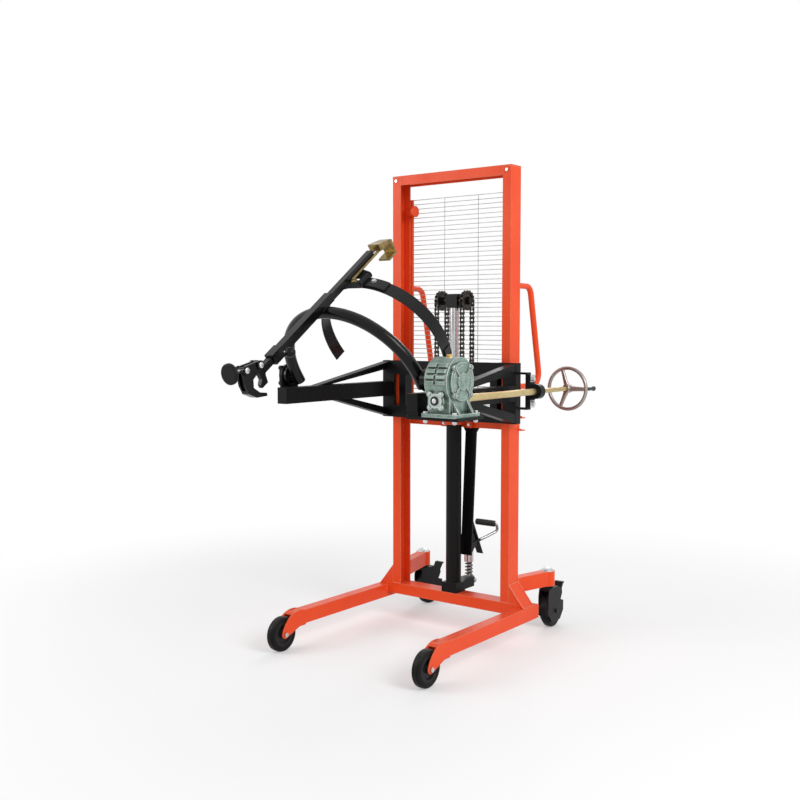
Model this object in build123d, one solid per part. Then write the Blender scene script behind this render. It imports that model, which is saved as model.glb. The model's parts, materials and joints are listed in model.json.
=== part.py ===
from build123d import *
import os
from math import atan2, cos, degrees, hypot, pi, radians, sin, sqrt, tan

# Hydraulic drum truck, millimetres, +Z up.
# The origin is on the floor, midway between the mast's uprights.
# -Y is the front, where the legs point, and +X is the gearbox and hand wheel side.

# Fits
RUN = 0.05
SLIDE_GAP = 0.5
FACE_GAP = 0.4

# Mast
MAST_WIDTH = 640.0
MAST_HEIGHT = 2080.0
CHANNEL_DEPTH = 80.0
CHANNEL_FLANGE = 43.0
CHANNEL_WALL = 5.0
MID_BAR_BOTTOM = 927.0
MID_BAR_HEIGHT = 60.0
MID_BAR_THICK = 5.0
MID_BAR_FLANGE = 24.0
MID_BAR_OVERHANG = 17.0

# Base
CROSS_HEIGHT = 50.0
CROSS_TOP = 170.0
TUBE_WALL = 4.0
LEG_TRACK = 762.0
LEG_WIDTH = 50.0
LEG_HEIGHT = 60.0
LEG_TOP = 157.0
LEG_REAR = 76.0
GUSSET_RISE = 82.0
GUSSET_FOOT = 40.0
GUSSET_PLATE = 6.0

# Front wheels and their forks
WHEEL_DIA = 150.0
WHEEL_WIDTH = 36.0
WHEEL_CORE_DIA = 104.0
WHEEL_CORE_INSET = 2.0
WHEEL_DISH = 9.0
AXLE_Y = -744.0
AXLE_DIA = 12.0
FORK_LENGTH = 116.0
FORK_COVER_RISE = 40.0
FORK_PLATE = 5.0
FORK_END_RADIUS = 18.0
BOLT_HEAD = 8.0
CORNER_BOLT = 13.0

# Rear arms and casters
ARM_END_X = 352.0
ARM_END_Y = 249.0
REAR_ARM_WIDTH = 46.0
REAR_ARM_HEIGHT = 67.0
REAR_ARM_BOTTOM = 202.0
SOCKET_DIA = 68.0
STEM_DIA = 20.0
STEM_LENGTH = 52.0
CAP_DIA = 62.0
CAP_RISE = 16.0
CASTER_DIA = 150.0
CASTER_WIDTH = 36.0
CASTER_TRAIL = 42.0
CASTER_AXLE_DIA = 10.0
CASTER_PLATE = 5.0
CASTER_HEAD_DIA = 58.0
PEDAL_PIN_DIA = 8.0
PEDAL_LENGTH = 34.0
HOOD_GAP = 6.0
HOOD_WALL = 4.0
CASTER_TURN_RIGHT = 3.0
CASTER_TURN_LEFT = -5.0
CASTER_CHEEK_GAP = 3.0
CASTER_BRIDGE = 10.0
CASTER_HEAD = 14.0
CASTER_NUT = 6.0

# Push handles, guard and travel stop
HANDLE_DIA = 27.0
HANDLE_TOP = 1566.0
HANDLE_BOTTOM = 1121.0
HANDLE_REACH_TOP = 122.0
HANDLE_REACH_LOW = 216.0
GUARD_WIRE = 3.0
GUARD_PITCH = 21.0
GUARD_TOP_GAP = 100.0
GUARD_COLUMN_X = 92.0
GUARD_CHAIN_GAP = 1.7
GUARD_RAIL = 20.0
STOP_DROP = 160.0
STOP_NECK_DIA = 30.0
STOP_FLANGE_DIA = 52.0
STOP_NECK = 30.0
STOP_FLANGE = 13.0

# Lift cylinder, piston, chains
CYLINDER_DIA = 70.0
CYLINDER_BORE = 52.0
CYLINDER_TOP = 1060.0
CYLINDER_BLOCK_X = 80.0
CYLINDER_BLOCK_Y = 76.0
CYLINDER_BLOCK_HEIGHT = 45.0
GLAND_HEIGHT = 40.0
ROD_DIA = 45.0
PISTON_LENGTH = 30.0
STROKE_DOWN = 340.0
PISTON_CUSHION = 12.0
CHAIN_PITCH = 19.05
CHAIN_WIDTH = 20.0
CHAIN_DEPTH = 17.0
SPROCKET_TEETH = 13
SPROCKET_WIDTH = 11.0
SPROCKET_X = 69.0
SPROCKET_Z = 1502.0
SPROCKET_AXLE_DIA = 20.0
AXLE_MARGIN = 6.0
AXLE_CAP = 5.0
YOKE_WIDTH = 60.0
FRONT_CHAIN_BOTTOM = 1040.0
REAR_CHAIN_BOTTOM = 1040.0
CLAMP_HEIGHT = 30.0
CLAMP_WALL = 8.0
CLAMP_EAR = 10.0
ANCHOR_HEAD = 12.0
ANCHOR_WIDTH = 28.0
ANCHOR_DEPTH = 22.0
ANCHOR_DIA = 16.0

# Foot pump
PUMP_Y = 128.0
PUMP_HALF_WIDTH = 26.0
PUMP_EAR = 34.0
PUMP_SCREW = 16.0
PUMP_FLOOR = 12.0
PLUNGER_FOOT = 32.0
PLUNGER_DIA = 20.0
PLUNGER_HEAD_DIA = 44.0
PLUNGER_HEAD_TOP = 333.0
PLUNGER_HEAD = 48.0
SPRING_WIRE = 6.0
SPRING_MEAN_DIA = 32.0
SPRING_TURNS = 4
SPRING_END_GAP = 1.6
PEDAL_PIVOT_Y = 86.0
PEDAL_PIVOT_Z = 362.0
PEDAL_NOSE_DIA = 24.0
PEDAL_ROD_DIA = 14.0
PEDAL_REACH = 186.0
PEDAL_RISE = 86.0
PEDAL_GRIP_DIA = 30.0
PEDAL_GRIP_LENGTH = 104.0
STAY_WIDTH = 58.0
STAY_THICK = 8.0
STAY_TOP_X = 56.0
STAY_LOW_X = 31.0
STAY_DROP = 30.0
STAY_FLARE = 14.0
LUG_RISE = 64.0
LUG_HALF = 20.0
LUG_THICK = 6.0
PEDAL_PIN = 12.0
PEDAL_PLATE_RISE = 190.0
PEDAL_PLATE_THICK = 10.0
PEDAL_PLATE_REACH = 98.0
PEDAL_PLATE_DROP = 18.0
PEDAL_BRACE = 66.0

# Carriage
CARRIAGE_TOP = 1229.0
CARRIAGE_HEIGHT = 264.0
CARRIAGE_PLATE = 10.0
CARRIAGE_GAP = 12.0
TOP_BAR = 64.0
BOTTOM_BAR = 55.0
WINDOW_HALF = 231.0
POST_BAR = 36.0
SIDE_WINDOW = 29.0
SIDE_FLANGE = 30.0
SIDE_FLANGE_THICK = 8.0
ROLLER_DIA = 69.0
ROLLER_WIDTH = 32.0
ROLLER_STUB_DIA = 30.0
ROLLER_INSET = 34.0
ROLLER_BRACKET = 12.0
ROLLER_BRACKET_REAR = 20.0
ROLLER_SIDE_GAP = 1.5
BRACKET_GAP = 10.0
STUB_GAP = 3.0
ANCHOR_LUG = 26.0
ARM_WIDTH = 50.0
ARM_HEIGHT = 68.0
ARM_WALL = 5.0
ARM_NOSE = 76.0
ARM_EDGE = 1.0
STRUT_WIDTH = 40.0
STRUT_THICK = 7.0
STRUT_INSET = 4.0
STRUT_TOP_Y = 130.0
STRUT_LOW_Y = 250.0

# Tilt axis and drum holder
TILT_REACH = 660.0
TILT_Z = 1180.0
TILT_REST = 126.0
HOOP_TUBE_DIA = 48.0
HOOP_WALL = 4.0
HOOP_TAIL = 30.0
HOOP_CLEARANCE = 2.0
HOOP_RADIUS = 320.0
HOOP_DRUM_GAP = 28.0
HUB_SIDE_GAP = 4.0
HUB_DIA = 88.0
HUB_LENGTH = 30.0
LEFT_HUB_LENGTH = 12.0
HUB_ARM_GAP = 4.0
SHAFT_DIA = 45.0
POST_SIZE = 35.0
POST_WALL = 4.0
POST_SINK = 8.5
POST_HEAD = 283.0
POST_FOOT = 373.0
FOOT_SIZE = 28.0
FOOT_JOINT = -60.0
COLLAR_SIZE = 42.0
COLLAR_LENGTH = 62.0
PLUG_LENGTH = 28.0
LOCK_OFFSET = 14.0

# Drum band
BAND_THICK = 4.0
BAND_WIDTH = 62.0
BAND_Z = -240.0
BAND_END_ANGLE = -15.0
BAND_PIN_X = 34.0
BAND_PIN_RISE = 14.0
BAND_PIN_DIA = 12.0
KNUCKLE_DIA = 28.0
LUG_PLATE = 6.0
LUG_RIM = 2.0
PIN_HEAD = 4.0
PAD_THICK = 10.0
PAD_ANGLE = 20.0
PAD_INSET = 6.0
END_LUG = 32.0
END_LUG_THICK = 5.0
END_LUG_INSET = 10.0
END_LUG_ANGLE = 7.0

# Bottom claw
CLAW_ROD_DIA = 16.0
CLAW_WIDTH = 56.0
CLAW_PLATE = 9.0
CLAW_DROP = 119.0
CLAW_GAP = 32.0
CLAW_ROD_IN = 40.0
CLAW_LIP = 60.0
CLAW_LIP_INSET = 17.0
CLAW_STRIP_WIDTH = 10.0
CLAW_STRIP_THICK = 6.0
CLAW_STRIP_FOOT = 185.0
CLAW_STRIP_TOE = 30.0

# Head clamp
CLAMP_TUBE_INSIDE = 190.0
CLAMP_TUBE_OUT = 57.0
CLAMP_TUBE_PLUG = 10.0
NOSE_OUT = 11.0
NOSE_RISE = 32.0
JAW_PIVOT_RISE = 30.0
JAW_PIVOT_Z = 413.0
JAW_PIN_DIA = 10.0
JAW_BOSS_RISE = 56.0
JAW_BOSS_Z = 480.0
JAW_BOSS_DIA = 26.0
JAW_PLATE = 8.0
JAW_BITE = 12.0
BLOCK_WIDTH = 18.0
CLAMP_SCREW_DIA = 12.0
CLAMP_SCREW_OUT = 55.0
CLAMP_SCREW_IN = 26.0
CLAMP_SCREW_TILT = 26.0
CLAMP_DISC_DIA = 78.0
CLAMP_DISC = 16.0
RIM_INSET = 1.0
LOCK_STEM_DIA = 12.0
LOCK_STEM = 24.0
LOCK_BALL_DIA = 40.0

# Worm gearbox and hand wheel
CENTRE_DISTANCE = 70.0
WORM_HEIGHT = 63.0
GEAR_MODULE = 3.5
GEAR_TEETH = 30
WORM_PITCH_DIA = 35.0
GEAR_WIDTH = 24.0
TOOTH_RATIO = 0.32
WORM_TURNS = 5.5
GEAR_ROOM = 6.0
GEARBOX_WIDTH = 100.0
GEARBOX_LENGTH = 170.0
GEARBOX_GAP = 43.0
RING_THICK = 5.0
GEARBOX_CROWN = 92.0
GEARBOX_WALL = 10.0
BASE_FLANGE = 14.0
FLANGE_LEFT = 23.0
FLANGE_RIGHT = 37.0
FLANGE_ROUND = 10.0
PLATFORM_THICK = 12.0
PLATFORM_EDGE = 6.0
FOOT_BOLT_DIA = 10.0
FOOT_BOLT_HEAD = 17.0
FOOT_BOLT_EDGE = 14.0
RIB_ROWS = 4
RIB_PITCH = 21.5
RIB_START = -3.0
RIB_WIDTH = 40.0
RIB_HEIGHT = 15.0
RIB_DEPTH = 8.0
RIB_ROUND = 3.5
RIB_GAP = 8.0
WEB_PLATE = 12.0
WEB_RISE = 52.0
WEB_Y = 46.0
COVER_BOLT = 13.0
COVER_EARS = 4
COVER_EAR_DIA = 24.0
COVER_DOME_DIA = 66.0
COVER_RIB = 8.0
COVER_RISE = 5.0
WORM_BOLT = 11.0
WORM_EAR_DIA = 19.0
WORM_EAR_REACH = 25.0
PLUG_DIA = 14.0
PLUG_HEAD = 19.0
SIDE_COVER_DIA = 146.0
COVER_THICK = 10.0
WORM_COVER = 66.0
JOURNAL_DIA = 25.0
WORM_END = 3.0
WORM_RELIEF = 6.0
COLLAR_GAP = 16.0
COLLAR_DIA = 36.0
ROD_COLLAR = 17.0
DRIVE_ROD_DIA = 28.0
THIN_ROD_DIA = 20.0
HAND_WHEEL_Y = 230.0
HAND_WHEEL_DIA = 200.0
RIM_TUBE_DIA = 16.0
WHEEL_HUB_DIA = 38.0
WHEEL_HUB_LENGTH = 36.0
SPOKE_DIA = 12.0
SPOKE_ANGLES = (0, 107, 247)
GRIP_DIA = 22.0
GRIP_LENGTH = 62.0
GRIP_PIN_DIA = 10.0
BRACKET_HALF_HEIGHT = 80.0
BRACKET_PLATE = 9.0
BEARING_HEIGHT = 36.0
BEARING_BOLTS = 105.0
BEARING_LENGTH = 140.0
BEARING_FOOT = 16.0
BEARING_RADIUS = 32.0
BEARING_WIDTH = 36.0
BEARING_SHIFT = 4.0
TRUNNION_PLATE = 10.0
TRUNNION_WIDTH = 100.0
TRUNNION_BEARING = 22.0
TRUNNION_FLANGE = 12.0
TRUNNION_BOLT = 16.0
TRUNNION_SHAFT_OUT = 6.0
BEARING_BOLT = 17.0
BEARING_LIP = 6.0

# Worked out from the sizes above
MAST_FRONT = -CHANNEL_DEPTH / 2
MAST_REAR = CHANNEL_DEPTH / 2
MAST_X = MAST_WIDTH / 2
MAST_INNER = MAST_X - CHANNEL_FLANGE
LEG_X = LEG_TRACK / 2
LEG_INNER = LEG_X - LEG_WIDTH / 2
LEG_OUTER = LEG_X + LEG_WIDTH / 2
LEG_BOTTOM = LEG_TOP - LEG_HEIGHT
LEG_FRONT = AXLE_Y + FORK_LENGTH
AXLE_Z = WHEEL_DIA / 2
PLATE_REAR = MAST_FRONT - CARRIAGE_GAP
PLATE_FRONT = PLATE_REAR - CARRIAGE_PLATE
CARRIAGE_BOTTOM = CARRIAGE_TOP - CARRIAGE_HEIGHT
TILT_Y = MAST_FRONT - TILT_REACH
ARM_TOP = TILT_Z - HUB_DIA / 2 - HUB_ARM_GAP
ARM_BOTTOM = ARM_TOP - ARM_HEIGHT
BAND_INNER = HOOP_RADIUS - HOOP_DRUM_GAP
RIM_RADIUS = BAND_INNER - RIM_INSET
CLAW_LIP_RADIUS = BAND_INNER - CLAW_LIP_INSET
HUB_INNER = HOOP_RADIUS + HOOP_TUBE_DIA / 2 + HOOP_CLEARANCE
HUB_OUTER = HUB_INNER + HUB_LENGTH
LEFT_HUB_OUTER = HUB_INNER + LEFT_HUB_LENGTH
ARM_OUTER = LEFT_HUB_OUTER + HUB_SIDE_GAP
ARM_INNER = ARM_OUTER - ARM_WIDTH
CARRIAGE_WIDTH = 2 * (ARM_OUTER + ARM_EDGE)
CARRIAGE_X = CARRIAGE_WIDTH / 2
WORM_X = ARM_OUTER + GEARBOX_GAP + GEARBOX_WIDTH / 2
WORM_Z = TILT_Z - CENTRE_DISTANCE
BOX_LEFT = WORM_X - GEARBOX_WIDTH / 2
BOX_RIGHT = WORM_X + GEARBOX_WIDTH / 2
BOX_FRONT = TILT_Y - GEARBOX_LENGTH / 2
BOX_REAR = TILT_Y + GEARBOX_LENGTH / 2
BOX_BOTTOM = WORM_Z - WORM_HEIGHT
SPROCKET_PITCH_RADIUS = CHAIN_PITCH / 2 / sin(pi / SPROCKET_TEETH)
ROLLER_LOW = CARRIAGE_BOTTOM + ROLLER_INSET
ROLLER_HIGH = CARRIAGE_TOP - ROLLER_INSET
POST_Y = HOOP_RADIUS + HOOP_TUBE_DIA / 2 - POST_SINK + POST_SIZE / 2
POST_INNER = POST_Y - POST_SIZE / 2
FOOT_POST_Y = POST_INNER + FOOT_SIZE / 2
BAND_OUTER = BAND_INNER + BAND_THICK
LOCK_Z = POST_HEAD + LOCK_OFFSET
STOP_Z = MAST_HEIGHT - STOP_DROP
PISTON_BOTTOM = CROSS_TOP + CYLINDER_BLOCK_HEIGHT + STROKE_DOWN + PISTON_CUSHION

NODES = {}


def add(name, *solids):
    """Keep one node: a single solid, or a group of separate ones."""
    NODES[name] = solids[0] if len(solids) == 1 else Compound(children=list(solids))


def box(x0, x1, y0, y1, z0, z1):
    return Pos((x0 + x1) / 2, (y0 + y1) / 2, (z0 + z1) / 2) * Box(x1 - x0, y1 - y0, z1 - z0)


LOW = (Align.CENTER, Align.CENTER, Align.MIN)


def bar_x(radius, x0, x1, y, z):
    return Pos(x0, y, z) * Rot(Y=90) * Cylinder(radius, x1 - x0, align=LOW)


def bar_y(radius, y0, y1, x, z):
    return Pos(x, y0, z) * Rot(X=-90) * Cylinder(radius, y1 - y0, align=LOW)


def bar_z(radius, z0, z1, x, y):
    return Pos(x, y, z0) * Cylinder(radius, z1 - z0, align=LOW)


def hex_x(across, x0, x1, y, z):
    head = RegularPolygon(across / 2, 6, major_radius=False)
    return Pos(x0, y, z) * Rot(Y=90) * extrude(head, x1 - x0)


def hex_y(across, y0, y1, x, z):
    head = RegularPolygon(across / 2, 6, major_radius=False)
    return Pos(x, y0, z) * Rot(X=-90) * extrude(head, y1 - y0)


def hex_z(across, z0, z1, x, y):
    head = RegularPolygon(across / 2, 6, major_radius=False)
    return Pos(x, y, z0) * extrude(head, z1 - z0)


def slab_yz(points, x0, x1):
    """A flat outline of (y, z) points, made solid from x0 to x1."""
    face = Plane.YZ * make_face(Polyline(*points, close=True))
    return Pos(x0, 0, 0) * extrude(face, x1 - x0, dir=(1, 0, 0))


def slab_xz(points, y0, y1):
    """A flat outline of (x, z) points, made solid from y0 to y1."""
    face = make_face(Polyline(*[(x, 0, z) for x, z in points], close=True))
    return Pos(0, y0, 0) * extrude(face, y1 - y0, dir=(0, 1, 0))


def flip(solid):
    """The mirrored piece on the other side of the truck."""
    return mirror(solid, about=Plane.YZ)


def tube(points, radii, diameter):
    """A round bar along straight runs with rounded corners."""
    path = FilletPolyline(*points, radius=radii)
    start = Plane(origin=path @ 0, z_dir=path % 0)
    return sweep(start * Circle(diameter / 2), path=path)


def held(solid):
    """Turn a piece drawn for an upright drum about the tilt axis into its place."""
    return Pos(0, TILT_Y, TILT_Z) * Rot(X=TILT_REST) * solid


# Legs with their wheel forks


def fork_outline():
    top = (LEG_FRONT + 12, LEG_TOP)
    tip_front = (AXLE_Y - FORK_END_RADIUS, AXLE_Z + 4)
    tip_low = (AXLE_Y + FORK_END_RADIUS * 0.55, AXLE_Z - FORK_END_RADIUS * 0.83)
    tip_mid = (AXLE_Y - FORK_END_RADIUS * 0.7, AXLE_Z - FORK_END_RADIUS * 0.7)
    sweep_mid = (AXLE_Y + FORK_LENGTH * 0.21, AXLE_Z + (LEG_TOP - AXLE_Z) * 0.80)
    heel = (LEG_FRONT - 26, LEG_BOTTOM - 6)
    root = (LEG_FRONT + 12, LEG_BOTTOM - 6)
    edges = [
        ThreePointArc(top, sweep_mid, tip_front),
        ThreePointArc(tip_front, tip_mid, tip_low),
        Line(tip_low, heel),
        Line(heel, root),
        Line(root, top),
    ]
    return Plane.YZ * make_face(edges)


def leg():
    inside = LEG_WIDTH / 2 - TUBE_WALL
    body = box(LEG_INNER, LEG_OUTER, LEG_FRONT, LEG_REAR, LEG_BOTTOM, LEG_TOP)
    body -= box(LEG_X - inside, LEG_X + inside, LEG_FRONT - 1, LEG_REAR - TUBE_WALL,
                LEG_BOTTOM + TUBE_WALL, LEG_TOP - TUBE_WALL)
    cheek = extrude(fork_outline(), FORK_PLATE, dir=(1, 0, 0))
    solid = extrude(fork_outline(), LEG_WIDTH, dir=(1, 0, 0))
    core = extrude(offset(fork_outline(), -FORK_PLATE), LEG_WIDTH, dir=(1, 0, 0))
    cover_front = AXLE_Y + WHEEL_DIA * 0.29
    cover_low = AXLE_Z + FORK_COVER_RISE
    cover = (solid - core) & box(-1, LEG_WIDTH + 1, cover_front, LEG_FRONT + 1, cover_low, LEG_TOP + 1)
    fork = Pos(LEG_INNER, 0, 0) * cheek + Pos(LEG_OUTER - FORK_PLATE, 0, 0) * cheek
    fork += Pos(LEG_INNER, 0, 0) * cover
    fork -= bar_x(AXLE_DIA / 2 + RUN, LEG_INNER - 1, LEG_OUTER + 1, AXLE_Y, AXLE_Z)
    return body + fork


add("leg_right", leg())
add("leg_left", flip(leg()))

# Cross-member and corner gussets
cross = box(-LEG_INNER, LEG_INNER, MAST_FRONT, MAST_REAR, CROSS_TOP - CROSS_HEIGHT, CROSS_TOP)
cross -= box(-LEG_INNER - 1, LEG_INNER + 1, MAST_FRONT + TUBE_WALL, MAST_REAR - TUBE_WALL,
             CROSS_TOP - CROSS_HEIGHT + TUBE_WALL, CROSS_TOP - TUBE_WALL)


def gusset():
    foot = LEG_INNER + GUSSET_FOOT
    shape = [(MAST_X, CROSS_TOP), (LEG_INNER, CROSS_TOP), (LEG_INNER, LEG_TOP), (foot, LEG_TOP),
             (MAST_X, CROSS_TOP + GUSSET_RISE)]
    slope = atan2(CROSS_TOP + GUSSET_RISE - LEG_TOP, foot - MAST_X)
    drop = GUSSET_PLATE / cos(slope)
    run = GUSSET_PLATE / sin(slope)
    hollow = [(MAST_X - 1, LEG_TOP - 1), (foot - run, LEG_TOP - 1), (foot - run, LEG_TOP),
              (MAST_X - 1, CROSS_TOP + GUSSET_RISE - drop + tan(slope))]
    solid = slab_xz(shape, MAST_FRONT, MAST_REAR)
    return solid - slab_xz(hollow, MAST_FRONT + GUSSET_PLATE, MAST_REAR - GUSSET_PLATE)


add("cross_member", cross, gusset(), flip(gusset()))

# Mast: channels that open inwards, closed by the top beam


def upright():
    top = MAST_HEIGHT - CHANNEL_WALL
    web = box(MAST_X - CHANNEL_WALL, MAST_X, MAST_FRONT, MAST_REAR, CROSS_TOP, top)
    front = box(MAST_INNER, MAST_X, MAST_FRONT, MAST_FRONT + CHANNEL_WALL, CROSS_TOP, top)
    rear = box(MAST_INNER, MAST_X, MAST_REAR - CHANNEL_WALL, MAST_REAR, CROSS_TOP, top)
    return web + front + rear


add("upright_right", upright())

beam_low = MAST_HEIGHT - CHANNEL_FLANGE
beam_web = MAST_HEIGHT - CHANNEL_WALL
beam = box(-MAST_X, MAST_X, MAST_FRONT, MAST_REAR, beam_web, MAST_HEIGHT)
for y0 in (MAST_FRONT, MAST_REAR - CHANNEL_WALL):
    beam += box(-MAST_INNER, MAST_INNER, y0, y0 + CHANNEL_WALL, beam_low, beam_web)
add("top_beam", beam)

MID_BAR_TOP = MID_BAR_BOTTOM + MID_BAR_HEIGHT
MID_BAR_REAR = MAST_REAR + MID_BAR_THICK
mid_bar = box(-MAST_X, MAST_X, MAST_REAR, MID_BAR_REAR, MID_BAR_BOTTOM, MID_BAR_TOP)
flange_end = MAST_X + MID_BAR_OVERHANG
for z0 in (MID_BAR_BOTTOM, MID_BAR_TOP - MID_BAR_THICK):
    mid_bar += box(-flange_end, flange_end, MAST_REAR, MAST_REAR + MID_BAR_FLANGE, z0, z0 + MID_BAR_THICK)

# Carriage travel stop: a flanged spool on the left upright's rear flange
STOP_Y = MAST_REAR - STOP_NECK_DIA / 2
stop_end = -MAST_INNER + STOP_NECK
stop = bar_x(STOP_NECK_DIA / 2, -MAST_INNER, stop_end, STOP_Y, STOP_Z)
stop += bar_x(STOP_FLANGE_DIA / 2, stop_end, stop_end + STOP_FLANGE, STOP_Y - STOP_NECK_DIA * 0.1, STOP_Z)
add("upright_left", flip(upright()) + stop)

# Wire guard: a grid of bars on two side rails behind the mast
GUARD_FRONT = SPROCKET_PITCH_RADIUS + CHAIN_DEPTH / 2 + GUARD_CHAIN_GAP
GUARD_BOTTOM = MID_BAR_TOP + FACE_GAP
GUARD_BARS = int((MAST_HEIGHT - GUARD_TOP_GAP - GUARD_BOTTOM) / GUARD_PITCH) + 1
GUARD_TOP = GUARD_BOTTOM + GUARD_PITCH * (GUARD_BARS - 1) + GUARD_WIRE
GUARD_X = MAST_X - CHANNEL_FLANGE / 2 - HANDLE_DIA / 2 - FACE_GAP
guard_outer = Pos(0, (GUARD_BOTTOM + GUARD_TOP) / 2) * Rectangle(2 * GUARD_X, GUARD_TOP - GUARD_BOTTOM)
column_edges = [-GUARD_X + GUARD_RAIL, -GUARD_COLUMN_X, GUARD_COLUMN_X, GUARD_X - GUARD_RAIL]
gaps = []
for left, right in zip(column_edges, column_edges[1:]):
    low = left if left < -GUARD_COLUMN_X else left + GUARD_WIRE / 2
    high = right if right > GUARD_COLUMN_X else right - GUARD_WIRE / 2
    for row in range(GUARD_BARS - 1):
        z0 = GUARD_BOTTOM + GUARD_WIRE + row * GUARD_PITCH
        gap = Rectangle(high - low, GUARD_PITCH - GUARD_WIRE)
        gaps.append(Pos((low + high) / 2, z0 + (GUARD_PITCH - GUARD_WIRE) / 2) * gap)
guard_face = Plane(origin=(0, GUARD_FRONT, 0), x_dir=(1, 0, 0), z_dir=(0, -1, 0)) * (guard_outer - gaps)
guard = extrude(guard_face, GUARD_WIRE, dir=(0, 1, 0))
for x0 in (-GUARD_X, GUARD_X - GUARD_RAIL):
    guard += box(x0, x0 + GUARD_RAIL, MAST_REAR, GUARD_FRONT, GUARD_BOTTOM, GUARD_TOP)
add("guard_mesh", guard)

# Rear arms: box tubes that splay to a round socket for the caster's stem


def rear_arm():
    start_x = MAST_X - CHANNEL_FLANGE / 2
    length = hypot(ARM_END_X - start_x, ARM_END_Y - MAST_REAR)
    splay = degrees(atan2(ARM_END_X - start_x, ARM_END_Y - MAST_REAR))
    top = REAR_ARM_BOTTOM + REAR_ARM_HEIGHT
    half = REAR_ARM_WIDTH / 2
    outer = box(-half, half, -length - half, 0, REAR_ARM_BOTTOM, top)
    inner = box(-half + TUBE_WALL, half - TUBE_WALL, -length - half - 1, -SOCKET_DIA / 2,
                REAR_ARM_BOTTOM + TUBE_WALL, top - TUBE_WALL)
    arm = Pos(ARM_END_X, ARM_END_Y, 0) * Rot(Z=-splay) * (outer - inner)
    arm += bar_z(SOCKET_DIA / 2, REAR_ARM_BOTTOM, top, ARM_END_X, ARM_END_Y)
    arm -= box(0, MAST_WIDTH, MAST_REAR - CHANNEL_DEPTH * 2, MAST_REAR, 0, MAST_HEIGHT)
    stem_top = REAR_ARM_BOTTOM + STEM_LENGTH + 1
    return arm - bar_z(STEM_DIA / 2 + RUN, REAR_ARM_BOTTOM - 1, stem_top, ARM_END_X, ARM_END_Y)


add("rear_arm_right", rear_arm())
add("rear_arm_left", flip(rear_arm()))

# Push handles: bent tubes on the rear of both uprights


def push_handle():
    x = MAST_X - CHANNEL_FLANGE / 2
    points = [(x, MAST_REAR, HANDLE_TOP), (x, MAST_REAR + HANDLE_REACH_TOP, HANDLE_TOP),
              (x, MAST_REAR + HANDLE_REACH_LOW, HANDLE_BOTTOM), (x, MAST_REAR, HANDLE_BOTTOM)]
    return tube(points, [HANDLE_DIA * 1.7, HANDLE_DIA * 2.0], HANDLE_DIA)


add("push_handles", push_handle(), flip(push_handle()))

# Lift cylinder with its foot block, clamped to the mid bar
BLOCK_TOP = CROSS_TOP + CYLINDER_BLOCK_HEIGHT
block_x = CYLINDER_BLOCK_X / 2
block_y = CYLINDER_BLOCK_Y / 2
cylinder = box(-block_x, block_x, -block_y, block_y, CROSS_TOP, BLOCK_TOP)
cylinder += bar_z(CYLINDER_DIA / 2, BLOCK_TOP, CYLINDER_TOP, 0, 0)
cylinder -= bar_z(CYLINDER_BORE / 2, BLOCK_TOP, CYLINDER_TOP - GLAND_HEIGHT, 0, 0)
cylinder -= bar_z(ROD_DIA / 2 + RUN, CYLINDER_TOP - GLAND_HEIGHT - 1, CYLINDER_TOP + 1, 0, 0)
add("lift_cylinder", cylinder)

clamp_low = (MID_BAR_BOTTOM + MID_BAR_TOP - CLAMP_HEIGHT) / 2
clamp_high = clamp_low + CLAMP_HEIGHT
clamp_ear = CYLINDER_DIA * 0.75
clamp = bar_z(CYLINDER_DIA / 2 + CLAMP_WALL, clamp_low, clamp_high, 0, 0)
clamp += box(-clamp_ear, clamp_ear, MAST_REAR - CLAMP_EAR, MAST_REAR, clamp_low, clamp_high)
clamp -= box(-MAST_X, MAST_X, MAST_REAR, MAST_REAR * 3, clamp_low - 1, clamp_high + 1)
clamp -= bar_z(CYLINDER_DIA / 2, clamp_low - 1, clamp_high + 1, 0, 0)
add("mid_bar", mid_bar, clamp)

# Piston rod with the cross head that carries the chain sprockets
YOKE_BOTTOM = SPROCKET_Z - YOKE_WIDTH / 2
piston = bar_z(ROD_DIA / 2, PISTON_BOTTOM, YOKE_BOTTOM, 0, 0)
piston += bar_z(CYLINDER_BORE / 2 - RUN, PISTON_BOTTOM, PISTON_BOTTOM + PISTON_LENGTH, 0, 0)
yoke_x = YOKE_WIDTH / 2
yoke_y = YOKE_WIDTH / 2.4
piston += box(-yoke_x, yoke_x, -yoke_y, yoke_y, YOKE_BOTTOM, SPROCKET_Z + YOKE_WIDTH / 2)
AXLE_END = SPROCKET_X + CHAIN_WIDTH / 2 + AXLE_MARGIN
piston += bar_x(SPROCKET_AXLE_DIA / 2, -AXLE_END, AXLE_END, 0, SPROCKET_Z)
for side in (-1, 1):
    x0, x1 = sorted((side * AXLE_END, side * (AXLE_END + AXLE_CAP)))
    piston += bar_x(SPROCKET_AXLE_DIA * 0.8, x0, x1, 0, SPROCKET_Z)
add("piston_rod", piston)


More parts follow.
